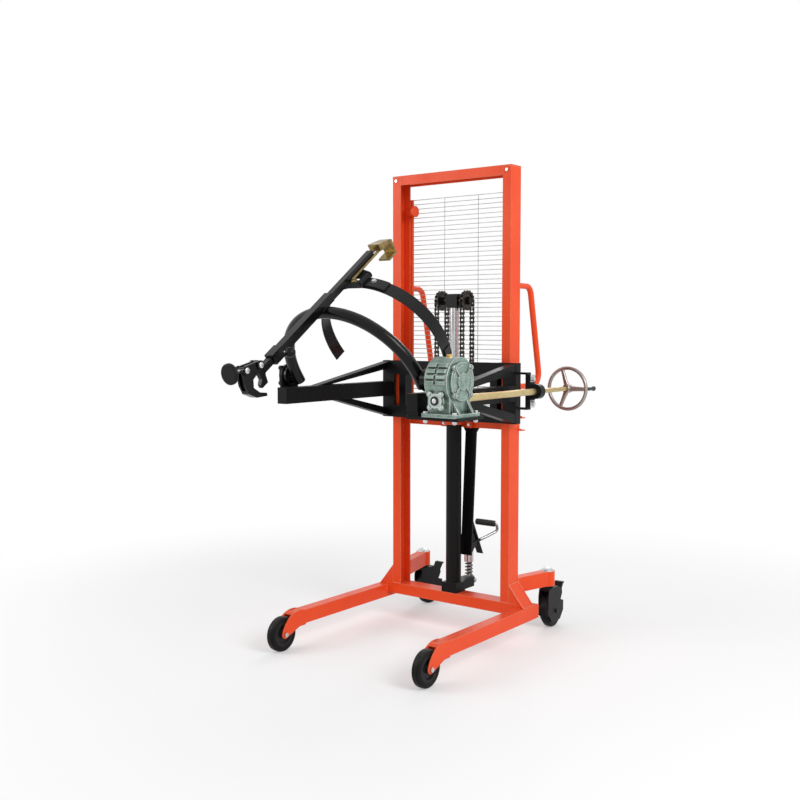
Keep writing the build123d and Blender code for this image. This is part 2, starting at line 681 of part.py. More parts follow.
def sprocket():
    tip = SPROCKET_PITCH_RADIUS + CHAIN_PITCH * 0.22
    seat = CHAIN_PITCH * 0.31
    disc = bar_x(tip, SPROCKET_X - SPROCKET_WIDTH / 2, SPROCKET_X + SPROCKET_WIDTH / 2, 0, SPROCKET_Z)
    for tooth in range(SPROCKET_TEETH):
        angle = 2 * pi * (tooth + 0.5) / SPROCKET_TEETH
        y = SPROCKET_PITCH_RADIUS * cos(angle)
        z = SPROCKET_Z + SPROCKET_PITCH_RADIUS * sin(angle)
        disc -= bar_x(seat, SPROCKET_X - SPROCKET_WIDTH, SPROCKET_X + SPROCKET_WIDTH, y, z)
    hub_start = YOKE_WIDTH / 2 + FACE_GAP
    disc += bar_x(SPROCKET_AXLE_DIA * 0.9, hub_start, SPROCKET_X, 0, SPROCKET_Z)
    disc += bar_x(SPROCKET_AXLE_DIA * 0.9, SPROCKET_X, AXLE_END - FACE_GAP, 0, SPROCKET_Z)
    return disc - bar_x(SPROCKET_AXLE_DIA / 2 + RUN, 0, AXLE_END + 10, 0, SPROCKET_Z)


add("sprockets", sprocket(), flip(sprocket()))

# Lift chains: half a turn over each sprocket, a front run to the carriage, a rear run to the frame


def chain_wrap():
    outer = SPROCKET_PITCH_RADIUS + CHAIN_DEPTH / 2
    inner = SPROCKET_PITCH_RADIUS - CHAIN_DEPTH / 2
    seat = SPROCKET_PITCH_RADIUS + CHAIN_PITCH * 0.22 + FACE_GAP
    half = CHAIN_WIDTH / 2
    ring = bar_x(outer, SPROCKET_X - half, SPROCKET_X + half, 0, SPROCKET_Z)
    ring -= bar_x(inner, SPROCKET_X - half - 1, SPROCKET_X + half + 1, 0, SPROCKET_Z)
    slot = SPROCKET_WIDTH / 2 + FACE_GAP
    ring -= bar_x(seat, SPROCKET_X - slot, SPROCKET_X + slot, 0, SPROCKET_Z)
    return ring - box(0, 2 * SPROCKET_X, -2 * outer, 2 * outer, SPROCKET_Z - 2 * outer, SPROCKET_Z)


def chain_run(y, bottom):
    """Links of two widths in turn, from the sprocket's level down to the anchor."""
    links = []
    top = SPROCKET_Z
    count = int((top - bottom) / CHAIN_PITCH)
    pitch = (top - bottom) / count
    for link in range(count):
        half = CHAIN_WIDTH / 2 if link % 2 == 0 else CHAIN_WIDTH * 0.33
        z1 = top - link * pitch
        y0 = y - CHAIN_DEPTH / 2
        links.append(box(SPROCKET_X - half, SPROCKET_X + half, y0, y0 + CHAIN_DEPTH, z1 - pitch, z1))
    run = links[0].fuse(*links[1:])
    slot = SPROCKET_WIDTH / 2 + FACE_GAP
    tip = SPROCKET_PITCH_RADIUS + CHAIN_PITCH * 0.22 + FACE_GAP
    return run - bar_x(tip, SPROCKET_X - slot, SPROCKET_X + slot, 0, SPROCKET_Z)


add("chain_wraps", chain_wrap(), flip(chain_wrap()))
front_run = chain_run(-SPROCKET_PITCH_RADIUS, FRONT_CHAIN_BOTTOM)
rear_run = chain_run(SPROCKET_PITCH_RADIUS, REAR_CHAIN_BOTTOM)
add("front_chains", front_run, flip(front_run))
add("rear_chains", rear_run, flip(rear_run))


def rear_anchor():
    y = SPROCKET_PITCH_RADIUS
    x0 = SPROCKET_X - ANCHOR_WIDTH / 2
    x1 = SPROCKET_X + ANCHOR_WIDTH / 2
    front = MAST_REAR - ANCHOR_DEPTH
    foot = box(x0, x1, front, MAST_REAR, MID_BAR_BOTTOM, MID_BAR_TOP)
    head = MID_BAR_TOP + ANCHOR_HEAD
    foot += box(x0, x1, front, y + CHAIN_DEPTH / 2, MID_BAR_TOP, head)
    return foot + bar_z(ANCHOR_DIA / 2, head, REAR_CHAIN_BOTTOM, SPROCKET_X, y)


add("chain_anchors", rear_anchor(), flip(rear_anchor()))

# Foot pump behind the cylinder, with its plunger, return spring and pedal
PUMP_TOP = BLOCK_TOP
pump = box(-PUMP_HALF_WIDTH, PUMP_HALF_WIDTH, CYLINDER_BLOCK_Y / 2, PUMP_Y, CROSS_TOP, PUMP_TOP)
pump += bar_z(PUMP_HALF_WIDTH, CROSS_TOP, PUMP_TOP, 0, PUMP_Y)
ear_low = CROSS_TOP + PUMP_EAR * 0.24
ear_high = PUMP_TOP - PUMP_EAR * 0.18
ear = box(-PUMP_HALF_WIDTH / 2, PUMP_HALF_WIDTH / 2, PUMP_Y, PUMP_Y + PUMP_EAR, ear_low, ear_high)
pump += fillet(ear.edges().filter_by(Axis.X).sort_by(Axis.Y)[-2:], PUMP_EAR / 4)
screw_x = PUMP_HALF_WIDTH / 2
screw_y = PUMP_Y + PUMP_EAR * 0.68
pump += hex_x(PUMP_SCREW, screw_x, screw_x + PUMP_SCREW * 0.44, screw_y, (ear_low + ear_high) / 2)
pump -= bar_z(PLUNGER_DIA / 2 + RUN, CROSS_TOP + PUMP_FLOOR, PUMP_TOP + 1, 0, PUMP_Y)
add("pump_body", pump)

HEAD_BOTTOM = PLUNGER_HEAD_TOP - PLUNGER_HEAD
plunger = bar_z(PLUNGER_DIA / 2, CROSS_TOP + PLUNGER_FOOT, HEAD_BOTTOM, 0, PUMP_Y)
plunger += bar_z(PLUNGER_HEAD_DIA / 2, HEAD_BOTTOM, PLUNGER_HEAD_TOP, 0, PUMP_Y)
add("pump_plunger", plunger)


def biarc(p1, t1, p2, t2):
    """Two arcs in one smooth line from p1 along t1 to p2 along t2."""
    chord = p2 - p1
    both = t1 + t2
    spread = 2 * (1 - t1.dot(t2))
    reach = (-chord.dot(both) + sqrt(chord.dot(both) ** 2 + spread * chord.dot(chord))) / spread
    near = p1 + t1 * reach
    far = p2 - t2 * reach
    middle = (near + far) * 0.5
    return [TangentArc(p1, middle, tangent=t1), TangentArc(middle, p2, tangent=(far - near).normalized())]


def pump_spring():
    radius = SPRING_MEAN_DIA / 2
    low = PUMP_TOP + SPRING_WIRE / 2 + SPRING_END_GAP
    high = HEAD_BOTTOM - SPRING_WIRE / 2 - SPRING_END_GAP
    rise = (high - low) / (2 * pi * SPRING_TURNS)
    scale = sqrt(radius ** 2 + rise ** 2)
    points = []
    for quarter in range(4 * SPRING_TURNS + 1):
        a = quarter * pi / 2
        at = Vector(radius * cos(a), PUMP_Y + radius * sin(a), low + rise * a)
        along = Vector(-radius * sin(a) / scale, radius * cos(a) / scale, rise / scale)
        points.append((at, along))
    first, first_dir = points[0]
    last, last_dir = points[-1]
    edges = [Line(first - first_dir * SPRING_WIRE, first)]
    for (p1, t1), (p2, t2) in zip(points, points[1:]):
        edges += biarc(p1, t1, p2, t2)
    edges.append(Line(last, last + last_dir * SPRING_WIRE))
    path = Wire(edges)
    profile = Plane(origin=path @ 0, z_dir=path % 0) * Circle(SPRING_WIRE / 2)
    gap = 2 * pi * rise * radius / scale - SPRING_WIRE
    print("pump spring: least gap between turns", round(gap, 2), "mm")
    return sweep(profile, path=path)


add("pump_spring", pump_spring())

# Stay: a slanted flat bar from the mid bar down to the pedal's pivot lugs
STAY_FRONT = MAST_REAR + MID_BAR_FLANGE - STAY_THICK
STAY_REAR = STAY_FRONT + STAY_THICK
STAY_BOTTOM = PEDAL_PIVOT_Z - STAY_DROP
LUG_TOP = PEDAL_PIVOT_Z + LUG_RISE
PEDAL_PIN_RADIUS = PEDAL_PIN / 2
half = STAY_WIDTH / 2
flare_low = MID_BAR_BOTTOM - STAY_FLARE * 1.6
stay_face = [
    (STAY_LOW_X - half, STAY_BOTTOM),
    (STAY_LOW_X + half, STAY_BOTTOM),
    (STAY_TOP_X + half, MID_BAR_BOTTOM),
    (STAY_TOP_X - half, MID_BAR_BOTTOM),
]
stay = slab_xz(stay_face, STAY_FRONT, STAY_REAR)
flare = [
    (STAY_TOP_X - half - STAY_FLARE, MID_BAR_BOTTOM),
    (STAY_TOP_X - half, flare_low),
    (STAY_TOP_X + half, flare_low),
    (STAY_TOP_X + half + STAY_FLARE, MID_BAR_BOTTOM),
]
stay += slab_xz(flare, STAY_FRONT, STAY_REAR)
lug = [
    (STAY_FRONT, STAY_BOTTOM),
    (PEDAL_PIVOT_Y, PEDAL_PIVOT_Z - PEDAL_PIN),
    (PEDAL_PIVOT_Y + PEDAL_PIN, PEDAL_PIVOT_Z),
    (PEDAL_PIVOT_Y, PEDAL_PIVOT_Z + PEDAL_PIN),
    (STAY_FRONT, LUG_TOP),
]
for x0 in (-LUG_HALF - LUG_THICK, LUG_HALF):
    stay += slab_yz(lug, x0, x0 + LUG_THICK)
stay += box(-LUG_HALF - LUG_THICK, STAY_LOW_X, STAY_FRONT, STAY_REAR, STAY_BOTTOM, LUG_TOP)
pin_end = LUG_HALF + LUG_THICK * 1.7
stay += bar_x(PEDAL_PIN_RADIUS, -pin_end, pin_end, PEDAL_PIVOT_Y, PEDAL_PIVOT_Z)
add("pump_stay", stay)

PEDAL_END_Y = PEDAL_PIVOT_Y + PEDAL_REACH
PEDAL_END_Z = PEDAL_PIVOT_Z + PEDAL_RISE


def foot_pedal():
    side = LUG_HALF - FACE_GAP
    nose_z = PLUNGER_HEAD_TOP + FACE_GAP + PEDAL_NOSE_DIA / 2
    pedal = bar_x(PEDAL_NOSE_DIA * 0.6, -side, side, PEDAL_PIVOT_Y, PEDAL_PIVOT_Z)
    pedal += bar_x(PEDAL_NOSE_DIA / 2, -side, side, PUMP_Y, nose_z)
    nose = PEDAL_NOSE_DIA
    link = [
        (PEDAL_PIVOT_Y, PEDAL_PIVOT_Z - nose * 0.5),
        (PUMP_Y, nose_z - nose * 0.33),
        (PUMP_Y + nose * 1.75, nose_z + nose * 0.58),
        (PUMP_Y + nose * 1.5, nose_z + nose * 1.33),
        (PEDAL_PIVOT_Y, PEDAL_PIVOT_Z + nose * 0.54),
    ]
    pedal += slab_yz(link, -side, side)
    plate_top = PEDAL_PIVOT_Z + PEDAL_PLATE_RISE
    plate_toe = PLUNGER_HEAD_TOP - PEDAL_PLATE_DROP
    plate_front = PEDAL_PIVOT_Y + PEDAL_PLATE_THICK * 0.8
    plate_end = PUMP_Y + PEDAL_PLATE_REACH
    plate = [
        (plate_front, plate_top),
        (plate_front + PEDAL_PLATE_THICK, plate_top),
        (plate_end, plate_toe),
        (plate_end + PEDAL_PLATE_THICK * 0.6, plate_toe - PEDAL_PLATE_THICK * 0.8),
        (plate_end - PEDAL_PLATE_THICK * 0.8, plate_toe - PEDAL_PLATE_THICK * 0.6),
    ]
    pedal += slab_yz(plate, -side * 0.75, side * 0.75)
    brace_top = nose_z + PEDAL_BRACE * 1.06
    brace = [
        (PUMP_Y, nose_z),
        (PUMP_Y + PEDAL_BRACE * 0.6, nose_z + PEDAL_BRACE * 0.12),
        (PUMP_Y + PEDAL_BRACE, nose_z + PEDAL_BRACE * 0.15),
        (PUMP_Y + PEDAL_BRACE * 0.45, brace_top),
        (PEDAL_PIVOT_Y + PEDAL_BRACE * 0.21, brace_top),
    ]
    pedal += slab_yz(brace, -side * 0.4, side * 0.4)
    rod = PEDAL_ROD_DIA
    rod_x = PEDAL_GRIP_LENGTH / 2 + rod * 0.64
    points = [
        (0, PUMP_Y + rod * 2.86, nose_z + rod * 1.57),
        (rod_x * 0.55, PEDAL_END_Y - rod * 2.86, nose_z + rod * 3.29),
        (rod_x, PEDAL_END_Y + rod, PEDAL_END_Z - rod * 2.43),
        (rod_x, PEDAL_END_Y, PEDAL_END_Z),
        (-PEDAL_GRIP_LENGTH / 2 - rod * 0.29, PEDAL_END_Y, PEDAL_END_Z),
    ]
    pedal += tube(points, [rod * 1.2, rod * 1.2, rod * 0.6], rod)
    return pedal - bar_x(PEDAL_PIN_RADIUS + RUN, -LUG_HALF * 2, LUG_HALF * 2, PEDAL_PIVOT_Y, PEDAL_PIVOT_Z)


add("foot_pedal", foot_pedal())
grip = bar_x(PEDAL_GRIP_DIA / 2, -PEDAL_GRIP_LENGTH / 2, PEDAL_GRIP_LENGTH / 2, PEDAL_END_Y, PEDAL_END_Z)
grip -= bar_x(PEDAL_ROD_DIA / 2, -PEDAL_GRIP_LENGTH, PEDAL_GRIP_LENGTH, PEDAL_END_Y, PEDAL_END_Z)
add("pedal_grip", grip)

# Front wheels on their axle bolts


def front_wheel_pieces():
    half = WHEEL_WIDTH / 2
    face = half - WHEEL_CORE_INSET
    core = bar_x(WHEEL_CORE_DIA / 2, LEG_X - face, LEG_X + face, AXLE_Y, AXLE_Z)
    dish = WHEEL_CORE_DIA / 2 - WHEEL_DISH
    for x0 in (LEG_X - half, LEG_X + half - WHEEL_DISH):
        core -= bar_x(dish, x0, x0 + WHEEL_DISH, AXLE_Y, AXLE_Z)
    boss = (LEG_WIDTH - 2 * FORK_PLATE) / 2 - FACE_GAP
    core += bar_x(AXLE_DIA * 1.5, LEG_X - boss, LEG_X + boss, AXLE_Y, AXLE_Z)
    core -= bar_x(AXLE_DIA / 2 + RUN, LEG_X - half * 2, LEG_X + half * 2, AXLE_Y, AXLE_Z)
    tyre = bar_x(WHEEL_DIA / 2, LEG_X - half, LEG_X + half, AXLE_Y, AXLE_Z)
    tyre = fillet(tyre.edges(), WHEEL_WIDTH * 0.2)
    return core, tyre - bar_x(WHEEL_CORE_DIA / 2, LEG_X - half - 1, LEG_X + half + 1, AXLE_Y, AXLE_Z)


core, tyre = front_wheel_pieces()
add("front_wheel_right", core)
add("front_tyre_right", tyre)
add("front_wheel_left", flip(core))
add("front_tyre_left", flip(tyre))


def axle_bolt():
    bolt = bar_x(AXLE_DIA / 2, LEG_INNER - BOLT_HEAD, LEG_OUTER + 1, AXLE_Y, AXLE_Z)
    bolt += hex_x(AXLE_DIA * 1.6, LEG_OUTER, LEG_OUTER + BOLT_HEAD, AXLE_Y, AXLE_Z)
    return bolt + hex_x(AXLE_DIA * 1.6, LEG_INNER - BOLT_HEAD, LEG_INNER, AXLE_Y, AXLE_Z)


def socket_cap():
    radius = CAP_DIA / 2
    sphere = (radius ** 2 + CAP_RISE ** 2) / (2 * CAP_RISE)
    top = REAR_ARM_BOTTOM + REAR_ARM_HEIGHT
    ball = Pos(ARM_END_X, ARM_END_Y, top + CAP_RISE - sphere) * Sphere(sphere)
    return ball & bar_z(sphere, top, top + sphere, ARM_END_X, ARM_END_Y)


def corner_bolt():
    x = MAST_INNER + CHANNEL_FLANGE / 2
    z = MAST_HEIGHT - CHANNEL_FLANGE / 2
    return hex_y(CORNER_BOLT, MAST_FRONT - CORNER_BOLT * 0.46, MAST_FRONT, x, z)


fasteners = []
for piece in (axle_bolt(), socket_cap(), corner_bolt()):
    fasteners += [piece, flip(piece)]
add("frame_fasteners", *fasteners)

# Casters, drawn with the swivel axis at x = y = 0 and the wheel trailing to +Y


def caster_pieces():
    radius = CASTER_DIA / 2
    axle_z = radius
    head_top = REAR_ARM_BOTTOM - FACE_GAP
    plate_top = head_top - CASTER_HEAD
    plate_low = plate_top - CASTER_BRIDGE
    inner = CASTER_WIDTH / 2 + CASTER_CHEEK_GAP
    outer = inner + CASTER_PLATE
    ear_y = CASTER_TRAIL + radius * 0.66
    ear_z = axle_z + radius * 1.08
    front = -CASTER_HEAD_DIA / 2
    fork = bar_z(STEM_DIA / 2, head_top, REAR_ARM_BOTTOM + STEM_LENGTH, 0, 0)
    fork += bar_z(CASTER_HEAD_DIA / 2, plate_top, head_top, 0, 0)
    bridge_end = CASTER_TRAIL + radius * 0.24
    rear = CASTER_TRAIL + radius
    eye = PEDAL_PIN_DIA
    fork += box(-outer, outer, front, bridge_end, plate_low, plate_top)
    cheek = [
        (front, plate_top),
        (front - radius * 0.12, plate_low - radius * 0.32),
        (front - radius * 0.12, axle_z),
        (CASTER_TRAIL - radius * 0.55, axle_z - radius * 0.62),
        (CASTER_TRAIL + radius * 0.55, axle_z - radius * 0.62),
        (rear, axle_z - radius * 0.11),
        (rear, axle_z + radius * 0.48),
        (CASTER_TRAIL + radius * 0.62, axle_z + radius * 0.59),
        (ear_y + eye * 1.6, ear_z - eye),
        (ear_y + eye * 1.25, ear_z + eye * 1.5),
        (bridge_end, plate_top),
    ]
    for x0 in (-outer, inner):
        fork += slab_yz(cheek, x0, x0 + CASTER_PLATE)
    hood = bar_x(radius + HOOD_GAP + HOOD_WALL, -outer, outer, CASTER_TRAIL, axle_z)
    hood -= bar_x(radius + HOOD_GAP, -outer - 1, outer + 1, CASTER_TRAIL, axle_z)
    hood_end = CASTER_TRAIL + radius * 0.13
    hood_low = axle_z - radius * 0.13
    fork += hood & box(-outer, outer, CASTER_TRAIL - CASTER_DIA, hood_end, hood_low, plate_top)
    nut_end = outer + CASTER_NUT
    fork += bar_x(CASTER_AXLE_DIA / 2, -nut_end, nut_end, CASTER_TRAIL, axle_z)
    for x0 in (-nut_end, outer):
        fork += hex_x(CASTER_AXLE_DIA * 1.8, x0, x0 + CASTER_NUT, CASTER_TRAIL, axle_z)
    fork += bar_x(PEDAL_PIN_DIA / 2, -outer, outer, ear_y, ear_z)
    wheel = bar_x(radius, -CASTER_WIDTH / 2, CASTER_WIDTH / 2, CASTER_TRAIL, axle_z)
    wheel = fillet(wheel.edges(), CASTER_WIDTH * 0.25)
    wheel += bar_x(CASTER_AXLE_DIA * 1.4, -inner + FACE_GAP, inner - FACE_GAP, CASTER_TRAIL, axle_z)
    wheel -= bar_x(CASTER_AXLE_DIA / 2 + RUN, -outer * 2, outer * 2, CASTER_TRAIL, axle_z)
    reach = ear_y + PEDAL_LENGTH
    half = inner - FACE_GAP
    lever = [
        (ear_y - eye * 0.88, ear_z + eye),
        (ear_y - eye * 0.88, ear_z - eye * 0.88),
        (ear_y + eye * 1.13, ear_z - eye * 0.88),
        (reach, head_top - eye * 2),
        (reach + eye, head_top - eye * 1.75),
        (reach + eye, head_top - eye * 0.88),
        (reach - eye, head_top - eye * 0.88),
        (ear_y + eye * 0.75, ear_z + eye * 1.13),
    ]
    pedal = slab_yz(lever, -half, half)
    pedal -= bar_x(PEDAL_PIN_DIA / 2 + RUN, -outer * 2, outer * 2, ear_y, ear_z)
    return fork, wheel, pedal


for side, turn in ((1, CASTER_TURN_RIGHT), (-1, CASTER_TURN_LEFT)):
    place = Pos(side * ARM_END_X, ARM_END_Y, 0) * Rot(Z=turn)
    label = "right" if side > 0 else "left"
    for name, piece in zip(("fork", "wheel", "pedal"), caster_pieces()):
        add(f"caster_{name}_{label}", place * piece)

# Carriage: a windowed front plate with side flanges and roller brackets
BRACKET_OUT = MAST_INNER - BRACKET_GAP


def carriage_half():
    z0, z1 = CARRIAGE_BOTTOM, CARRIAGE_TOP
    half = box(0, CARRIAGE_X, PLATE_FRONT, PLATE_REAR, z0, z1)
    post_end = WINDOW_HALF + POST_BAR
    for x0, x1 in ((-1, WINDOW_HALF), (post_end, post_end + SIDE_WINDOW)):
        half -= box(x0, x1, PLATE_FRONT - 1, PLATE_REAR + 1, z0 + BOTTOM_BAR, z1 - TOP_BAR)
    half += box(CARRIAGE_X - SIDE_FLANGE_THICK, CARRIAGE_X, PLATE_REAR, PLATE_REAR + SIDE_FLANGE, z0, z1)
    half += box(BRACKET_OUT - ROLLER_BRACKET, BRACKET_OUT, PLATE_REAR, ROLLER_BRACKET_REAR, z0, z1)
    for z in (ROLLER_LOW, ROLLER_HIGH):
        stub_end = MAST_X - CHANNEL_WALL - STUB_GAP
        half += bar_x(ROLLER_STUB_DIA / 2, BRACKET_OUT, stub_end, 0, z)
    y = -SPROCKET_PITCH_RADIUS
    anchor_low = z0 + BOTTOM_BAR
    lug = ANCHOR_LUG / 2
    half += box(SPROCKET_X - lug, SPROCKET_X + lug, PLATE_REAR, y + CHAIN_DEPTH / 2, z0, anchor_low)
    return half + bar_z(ANCHOR_DIA / 2, anchor_low - 1, FRONT_CHAIN_BOTTOM, SPROCKET_X, y)


half = carriage_half()
add("carriage_frame", half + flip(half))


def roller(z):
    x0 = MAST_INNER + ROLLER_SIDE_GAP
    ring = bar_x(ROLLER_DIA / 2, x0, x0 + ROLLER_WIDTH, 0, z)
    ring = fillet(ring.edges(), 2)
    return ring - bar_x(ROLLER_STUB_DIA / 2 + RUN, x0 - 1, x0 + ROLLER_WIDTH + 1, 0, z)


for label, z in (("lower", ROLLER_LOW), ("upper", ROLLER_HIGH)):
    add(f"{label}_rollers", roller(z), flip(roller(z)))


def strut(z_plate, z_arm, y_arm, x_mid):
    """Angle iron from the carriage plate to the arm: a flange across and a web below or above it."""
    run = hypot(PLATE_FRONT - y_arm, z_arm - z_plate)
    lift = STRUT_THICK * run / abs(PLATE_FRONT - y_arm)
    up = 1 if z_plate > z_arm else -1
    z_under = z_plate - up * lift
    y_under = y_arm + STRUT_WIDTH * 0.75
    flange = [(PLATE_FRONT, z_plate), (PLATE_FRONT, z_under), (y_under, z_arm), (y_arm, z_arm)]
    y_web = y_arm + STRUT_WIDTH * 3.25
    z_web = z_plate - up * STRUT_WIDTH
    web = [(PLATE_FRONT, z_under), (PLATE_FRONT, z_web), (y_web, z_arm), (y_under, z_arm)]
    bar = slab_yz(flange, x_mid - STRUT_WIDTH / 2, x_mid + STRUT_WIDTH / 2)
    return bar + slab_yz(web, x_mid + STRUT_WIDTH / 2 - STRUT_THICK, x_mid + STRUT_WIDTH / 2)


def carriage_arm():
    nose = TILT_Y - ARM_NOSE
    arm = box(ARM_INNER, ARM_OUTER, nose, PLATE_FRONT, ARM_BOTTOM, ARM_TOP)
    arm -= box(ARM_INNER + ARM_WALL, ARM_OUTER - ARM_WALL, nose + ARM_WALL, PLATE_FRONT + 1,
               ARM_BOTTOM + ARM_WALL, ARM_TOP - ARM_WALL)
    middle = ARM_OUTER - STRUT_WIDTH / 2
    arm += strut(CARRIAGE_TOP - STRUT_INSET, ARM_TOP, TILT_Y + STRUT_TOP_Y, middle)
    arm += strut(CARRIAGE_BOTTOM + STRUT_INSET, ARM_BOTTOM, TILT_Y + STRUT_LOW_Y, middle)
    return arm


FLANGE_X0 = BOX_LEFT - FLANGE_LEFT
FLANGE_X1 = BOX_RIGHT + FLANGE_RIGHT
PLATFORM_RIGHT = FLANGE_X1 + PLATFORM_EDGE
PLATFORM_BOTTOM = BOX_BOTTOM - PLATFORM_THICK
y0 = BOX_FRONT + PLATFORM_EDGE
y1 = BOX_REAR + 2 * PLATFORM_EDGE
platform = box(ARM_INNER, PLATFORM_RIGHT, y0, y1, PLATFORM_BOTTOM, BOX_BOTTOM)
platform += box(ARM_INNER, ARM_OUTER, BOX_FRONT + 2.5 * PLATFORM_EDGE, BOX_REAR, BOX_BOTTOM, ARM_BOTTOM)
add("carriage_arm_left", flip(carriage_arm()))
FOOT_X = (FLANGE_X0 + FOOT_BOLT_EDGE, FLANGE_X1 - FOOT_BOLT_EDGE)
FOOT_Y = (BOX_FRONT + FOOT_BOLT_EDGE, BOX_REAR - FOOT_BOLT_EDGE)
for x in FOOT_X:
    for y in FOOT_Y:
        platform -= bar_z(FOOT_BOLT_DIA / 2 + RUN, 0, BOX_BOTTOM + 1, x, y)
add("carriage_arm_right", carriage_arm() + platform)

# Worm gearbox: housing, covers, filler plug and bolts
GEAR_PITCH_RADIUS = GEAR_MODULE * GEAR_TEETH / 2
GEAR_TIP_RADIUS = GEAR_PITCH_RADIUS + GEAR_MODULE
WORM_TIP_RADIUS = WORM_PITCH_DIA / 2 + GEAR_MODULE
CAVITY_RADIUS = GEAR_TIP_RADIUS + GEAR_ROOM
WORM_CAVITY = WORM_TIP_RADIUS + GEAR_ROOM / 2
SHAFT_BORE = SHAFT_DIA / 2 + RUN
WORM_BORE = JOURNAL_DIA / 2 + RUN


def crown_rib(x0, z0):
    """A raised block with soft edges on the front of the round crown."""
    x1 = x0 + RIB_WIDTH
    y0 = TILT_Y - GEARBOX_LENGTH
    rib = bar_x(GEARBOX_CROWN + RIB_DEPTH, x0, x1, TILT_Y, TILT_Z)
    rib &= box(x0, x1, y0, TILT_Y - GEARBOX_CROWN / 4, z0, z0 + RIB_HEIGHT)
    return fillet(rib.faces().sort_by(Axis.Y)[0].edges(), RIB_ROUND)


def foot_web(y):
    """A slanted rib from the housing's right side down to the foot flange."""
    seat = BOX_BOTTOM + BASE_FLANGE
    x0 = BOX_RIGHT - 1
    x1 = FLANGE_X1 - FOOT_BOLT_EDGE / 2
    shape = [(x0, seat - 1), (x1, seat - 1), (x0, seat + WEB_RISE)]
    return slab_xz(shape, y - WEB_PLATE / 2, y + WEB_PLATE / 2)


def gearbox_housing():
    waist = GEARBOX_LENGTH * 0.40
    body = bar_x(GEARBOX_CROWN, BOX_LEFT, BOX_RIGHT, TILT_Y, TILT_Z)
    body += box(BOX_LEFT, BOX_RIGHT, TILT_Y - waist, TILT_Y + waist, BOX_BOTTOM, TILT_Z)
    body += bar_y(WORM_COVER / 2, BOX_FRONT, BOX_REAR, WORM_X, WORM_Z)
    flange = box(FLANGE_X0, FLANGE_X1, BOX_FRONT, BOX_REAR, BOX_BOTTOM, BOX_BOTTOM + BASE_FLANGE)
    body += fillet(flange.edges().filter_by(Axis.Z), FLANGE_ROUND)
    under = BOX_BOTTOM - GEARBOX_LENGTH
    body -= box(BOX_LEFT - 1, BOX_RIGHT + 1, BOX_FRONT - 1, BOX_REAR + 1, under, BOX_BOTTOM)
    for row in range(RIB_ROWS):
        z0 = TILT_Z + RIB_START + row * RIB_PITCH - RIB_HEIGHT / 2
        for x0 in (WORM_X - RIB_GAP / 2 - RIB_WIDTH, WORM_X + RIB_GAP / 2):
            body += crown_rib(x0, z0)
    for side in (-1, 1):
        body += foot_web(TILT_Y + side * WEB_Y)
    body -= bar_x(CAVITY_RADIUS, BOX_LEFT + GEARBOX_WALL, BOX_RIGHT - GEARBOX_WALL, TILT_Y, TILT_Z)
    body -= bar_y(WORM_CAVITY, BOX_FRONT + GEARBOX_WALL, BOX_REAR - GEARBOX_WALL, WORM_X, WORM_Z)
    body -= bar_x(SHAFT_BORE, BOX_LEFT - 1, BOX_RIGHT + 1, TILT_Y, TILT_Z)
    body -= bar_y(WORM_BORE, BOX_FRONT - 1, BOX_REAR + 1, WORM_X, WORM_Z)
    seat = BOX_BOTTOM + BASE_FLANGE
    for x in FOOT_X:
        for y in FOOT_Y:
            body -= bar_z(FOOT_BOLT_DIA / 2 + RUN, BOX_BOTTOM - 1, seat + 1, x, y)
            body -= bar_z(FOOT_BOLT_DIA, seat, seat + FOOT_BOLT_DIA * 1.4, x, y)
    plug_z = TILT_Z + GEARBOX_CROWN
    return body - bar_z(PLUG_DIA / 2, plug_z - GEARBOX_WALL * 4, plug_z + 1, WORM_X, TILT_Y)


def side_cover():
    x0 = BOX_RIGHT
    x1 = x0 + COVER_THICK
    raised = x1 + COVER_RISE
    reach = SIDE_COVER_DIA / 2
    disc = bar_x(reach, x0, x1, TILT_Y, TILT_Z)
    disc += bar_x(COVER_DOME_DIA / 2, x0, raised, TILT_Y, TILT_Z)
    for ear in range(COVER_EARS):
        turn = 360 * (ear + 0.5) / COVER_EARS
        y = TILT_Y + reach * cos(radians(turn))
        z = TILT_Z + reach * sin(radians(turn))
        rib = box(x0, raised, 0, reach, -COVER_RIB / 2, COVER_RIB / 2)
        disc += Pos(0, TILT_Y, TILT_Z) * Rot(X=turn) * rib
        disc += bar_x(COVER_EAR_DIA / 2, x0, raised, y, z)
        disc += hex_x(COVER_BOLT, raised, raised + COVER_BOLT * 0.46, y, z)
    return disc


def inner_cover():
    ring = bar_x(SIDE_COVER_DIA * 0.363, BOX_LEFT - RING_THICK, BOX_LEFT, TILT_Y, TILT_Z)
    return ring - bar_x(SHAFT_BORE, BOX_LEFT - RING_THICK - 1, BOX_LEFT + 1, TILT_Y, TILT_Z)


def worm_cover(y0, head):
    y1 = y0 + COVER_THICK
    reach = WORM_EAR_REACH * sqrt(2)
    lobe = WORM_EAR_DIA / 2
    cover = bar_y(WORM_COVER * 0.42, y0, y1, WORM_X, WORM_Z)
    for turn in (45, 135):
        cover += Pos(WORM_X, 0, WORM_Z) * Rot(Y=turn) * box(-reach, reach, y0, y1, -lobe, lobe)
    for x in (WORM_X - WORM_EAR_REACH, WORM_X + WORM_EAR_REACH):
        for z in (WORM_Z - WORM_EAR_REACH, WORM_Z + WORM_EAR_REACH):
            cover += bar_y(lobe, y0, y1, x, z)
            cover += hex_y(WORM_BOLT, head, head + WORM_BOLT * 0.46, x, z)
    return cover - bar_y(WORM_BORE, y0 - COVER_THICK, y1 + COVER_THICK, WORM_X, WORM_Z)


front_face = BOX_FRONT - COVER_THICK
front_cover = worm_cover(front_face, front_face - WORM_BOLT * 0.46)
rear_cover = worm_cover(BOX_REAR, BOX_REAR + COVER_THICK)
add("gearbox_housing", gearbox_housing())
add("gearbox_covers", side_cover(), inner_cover(), front_cover, rear_cover)

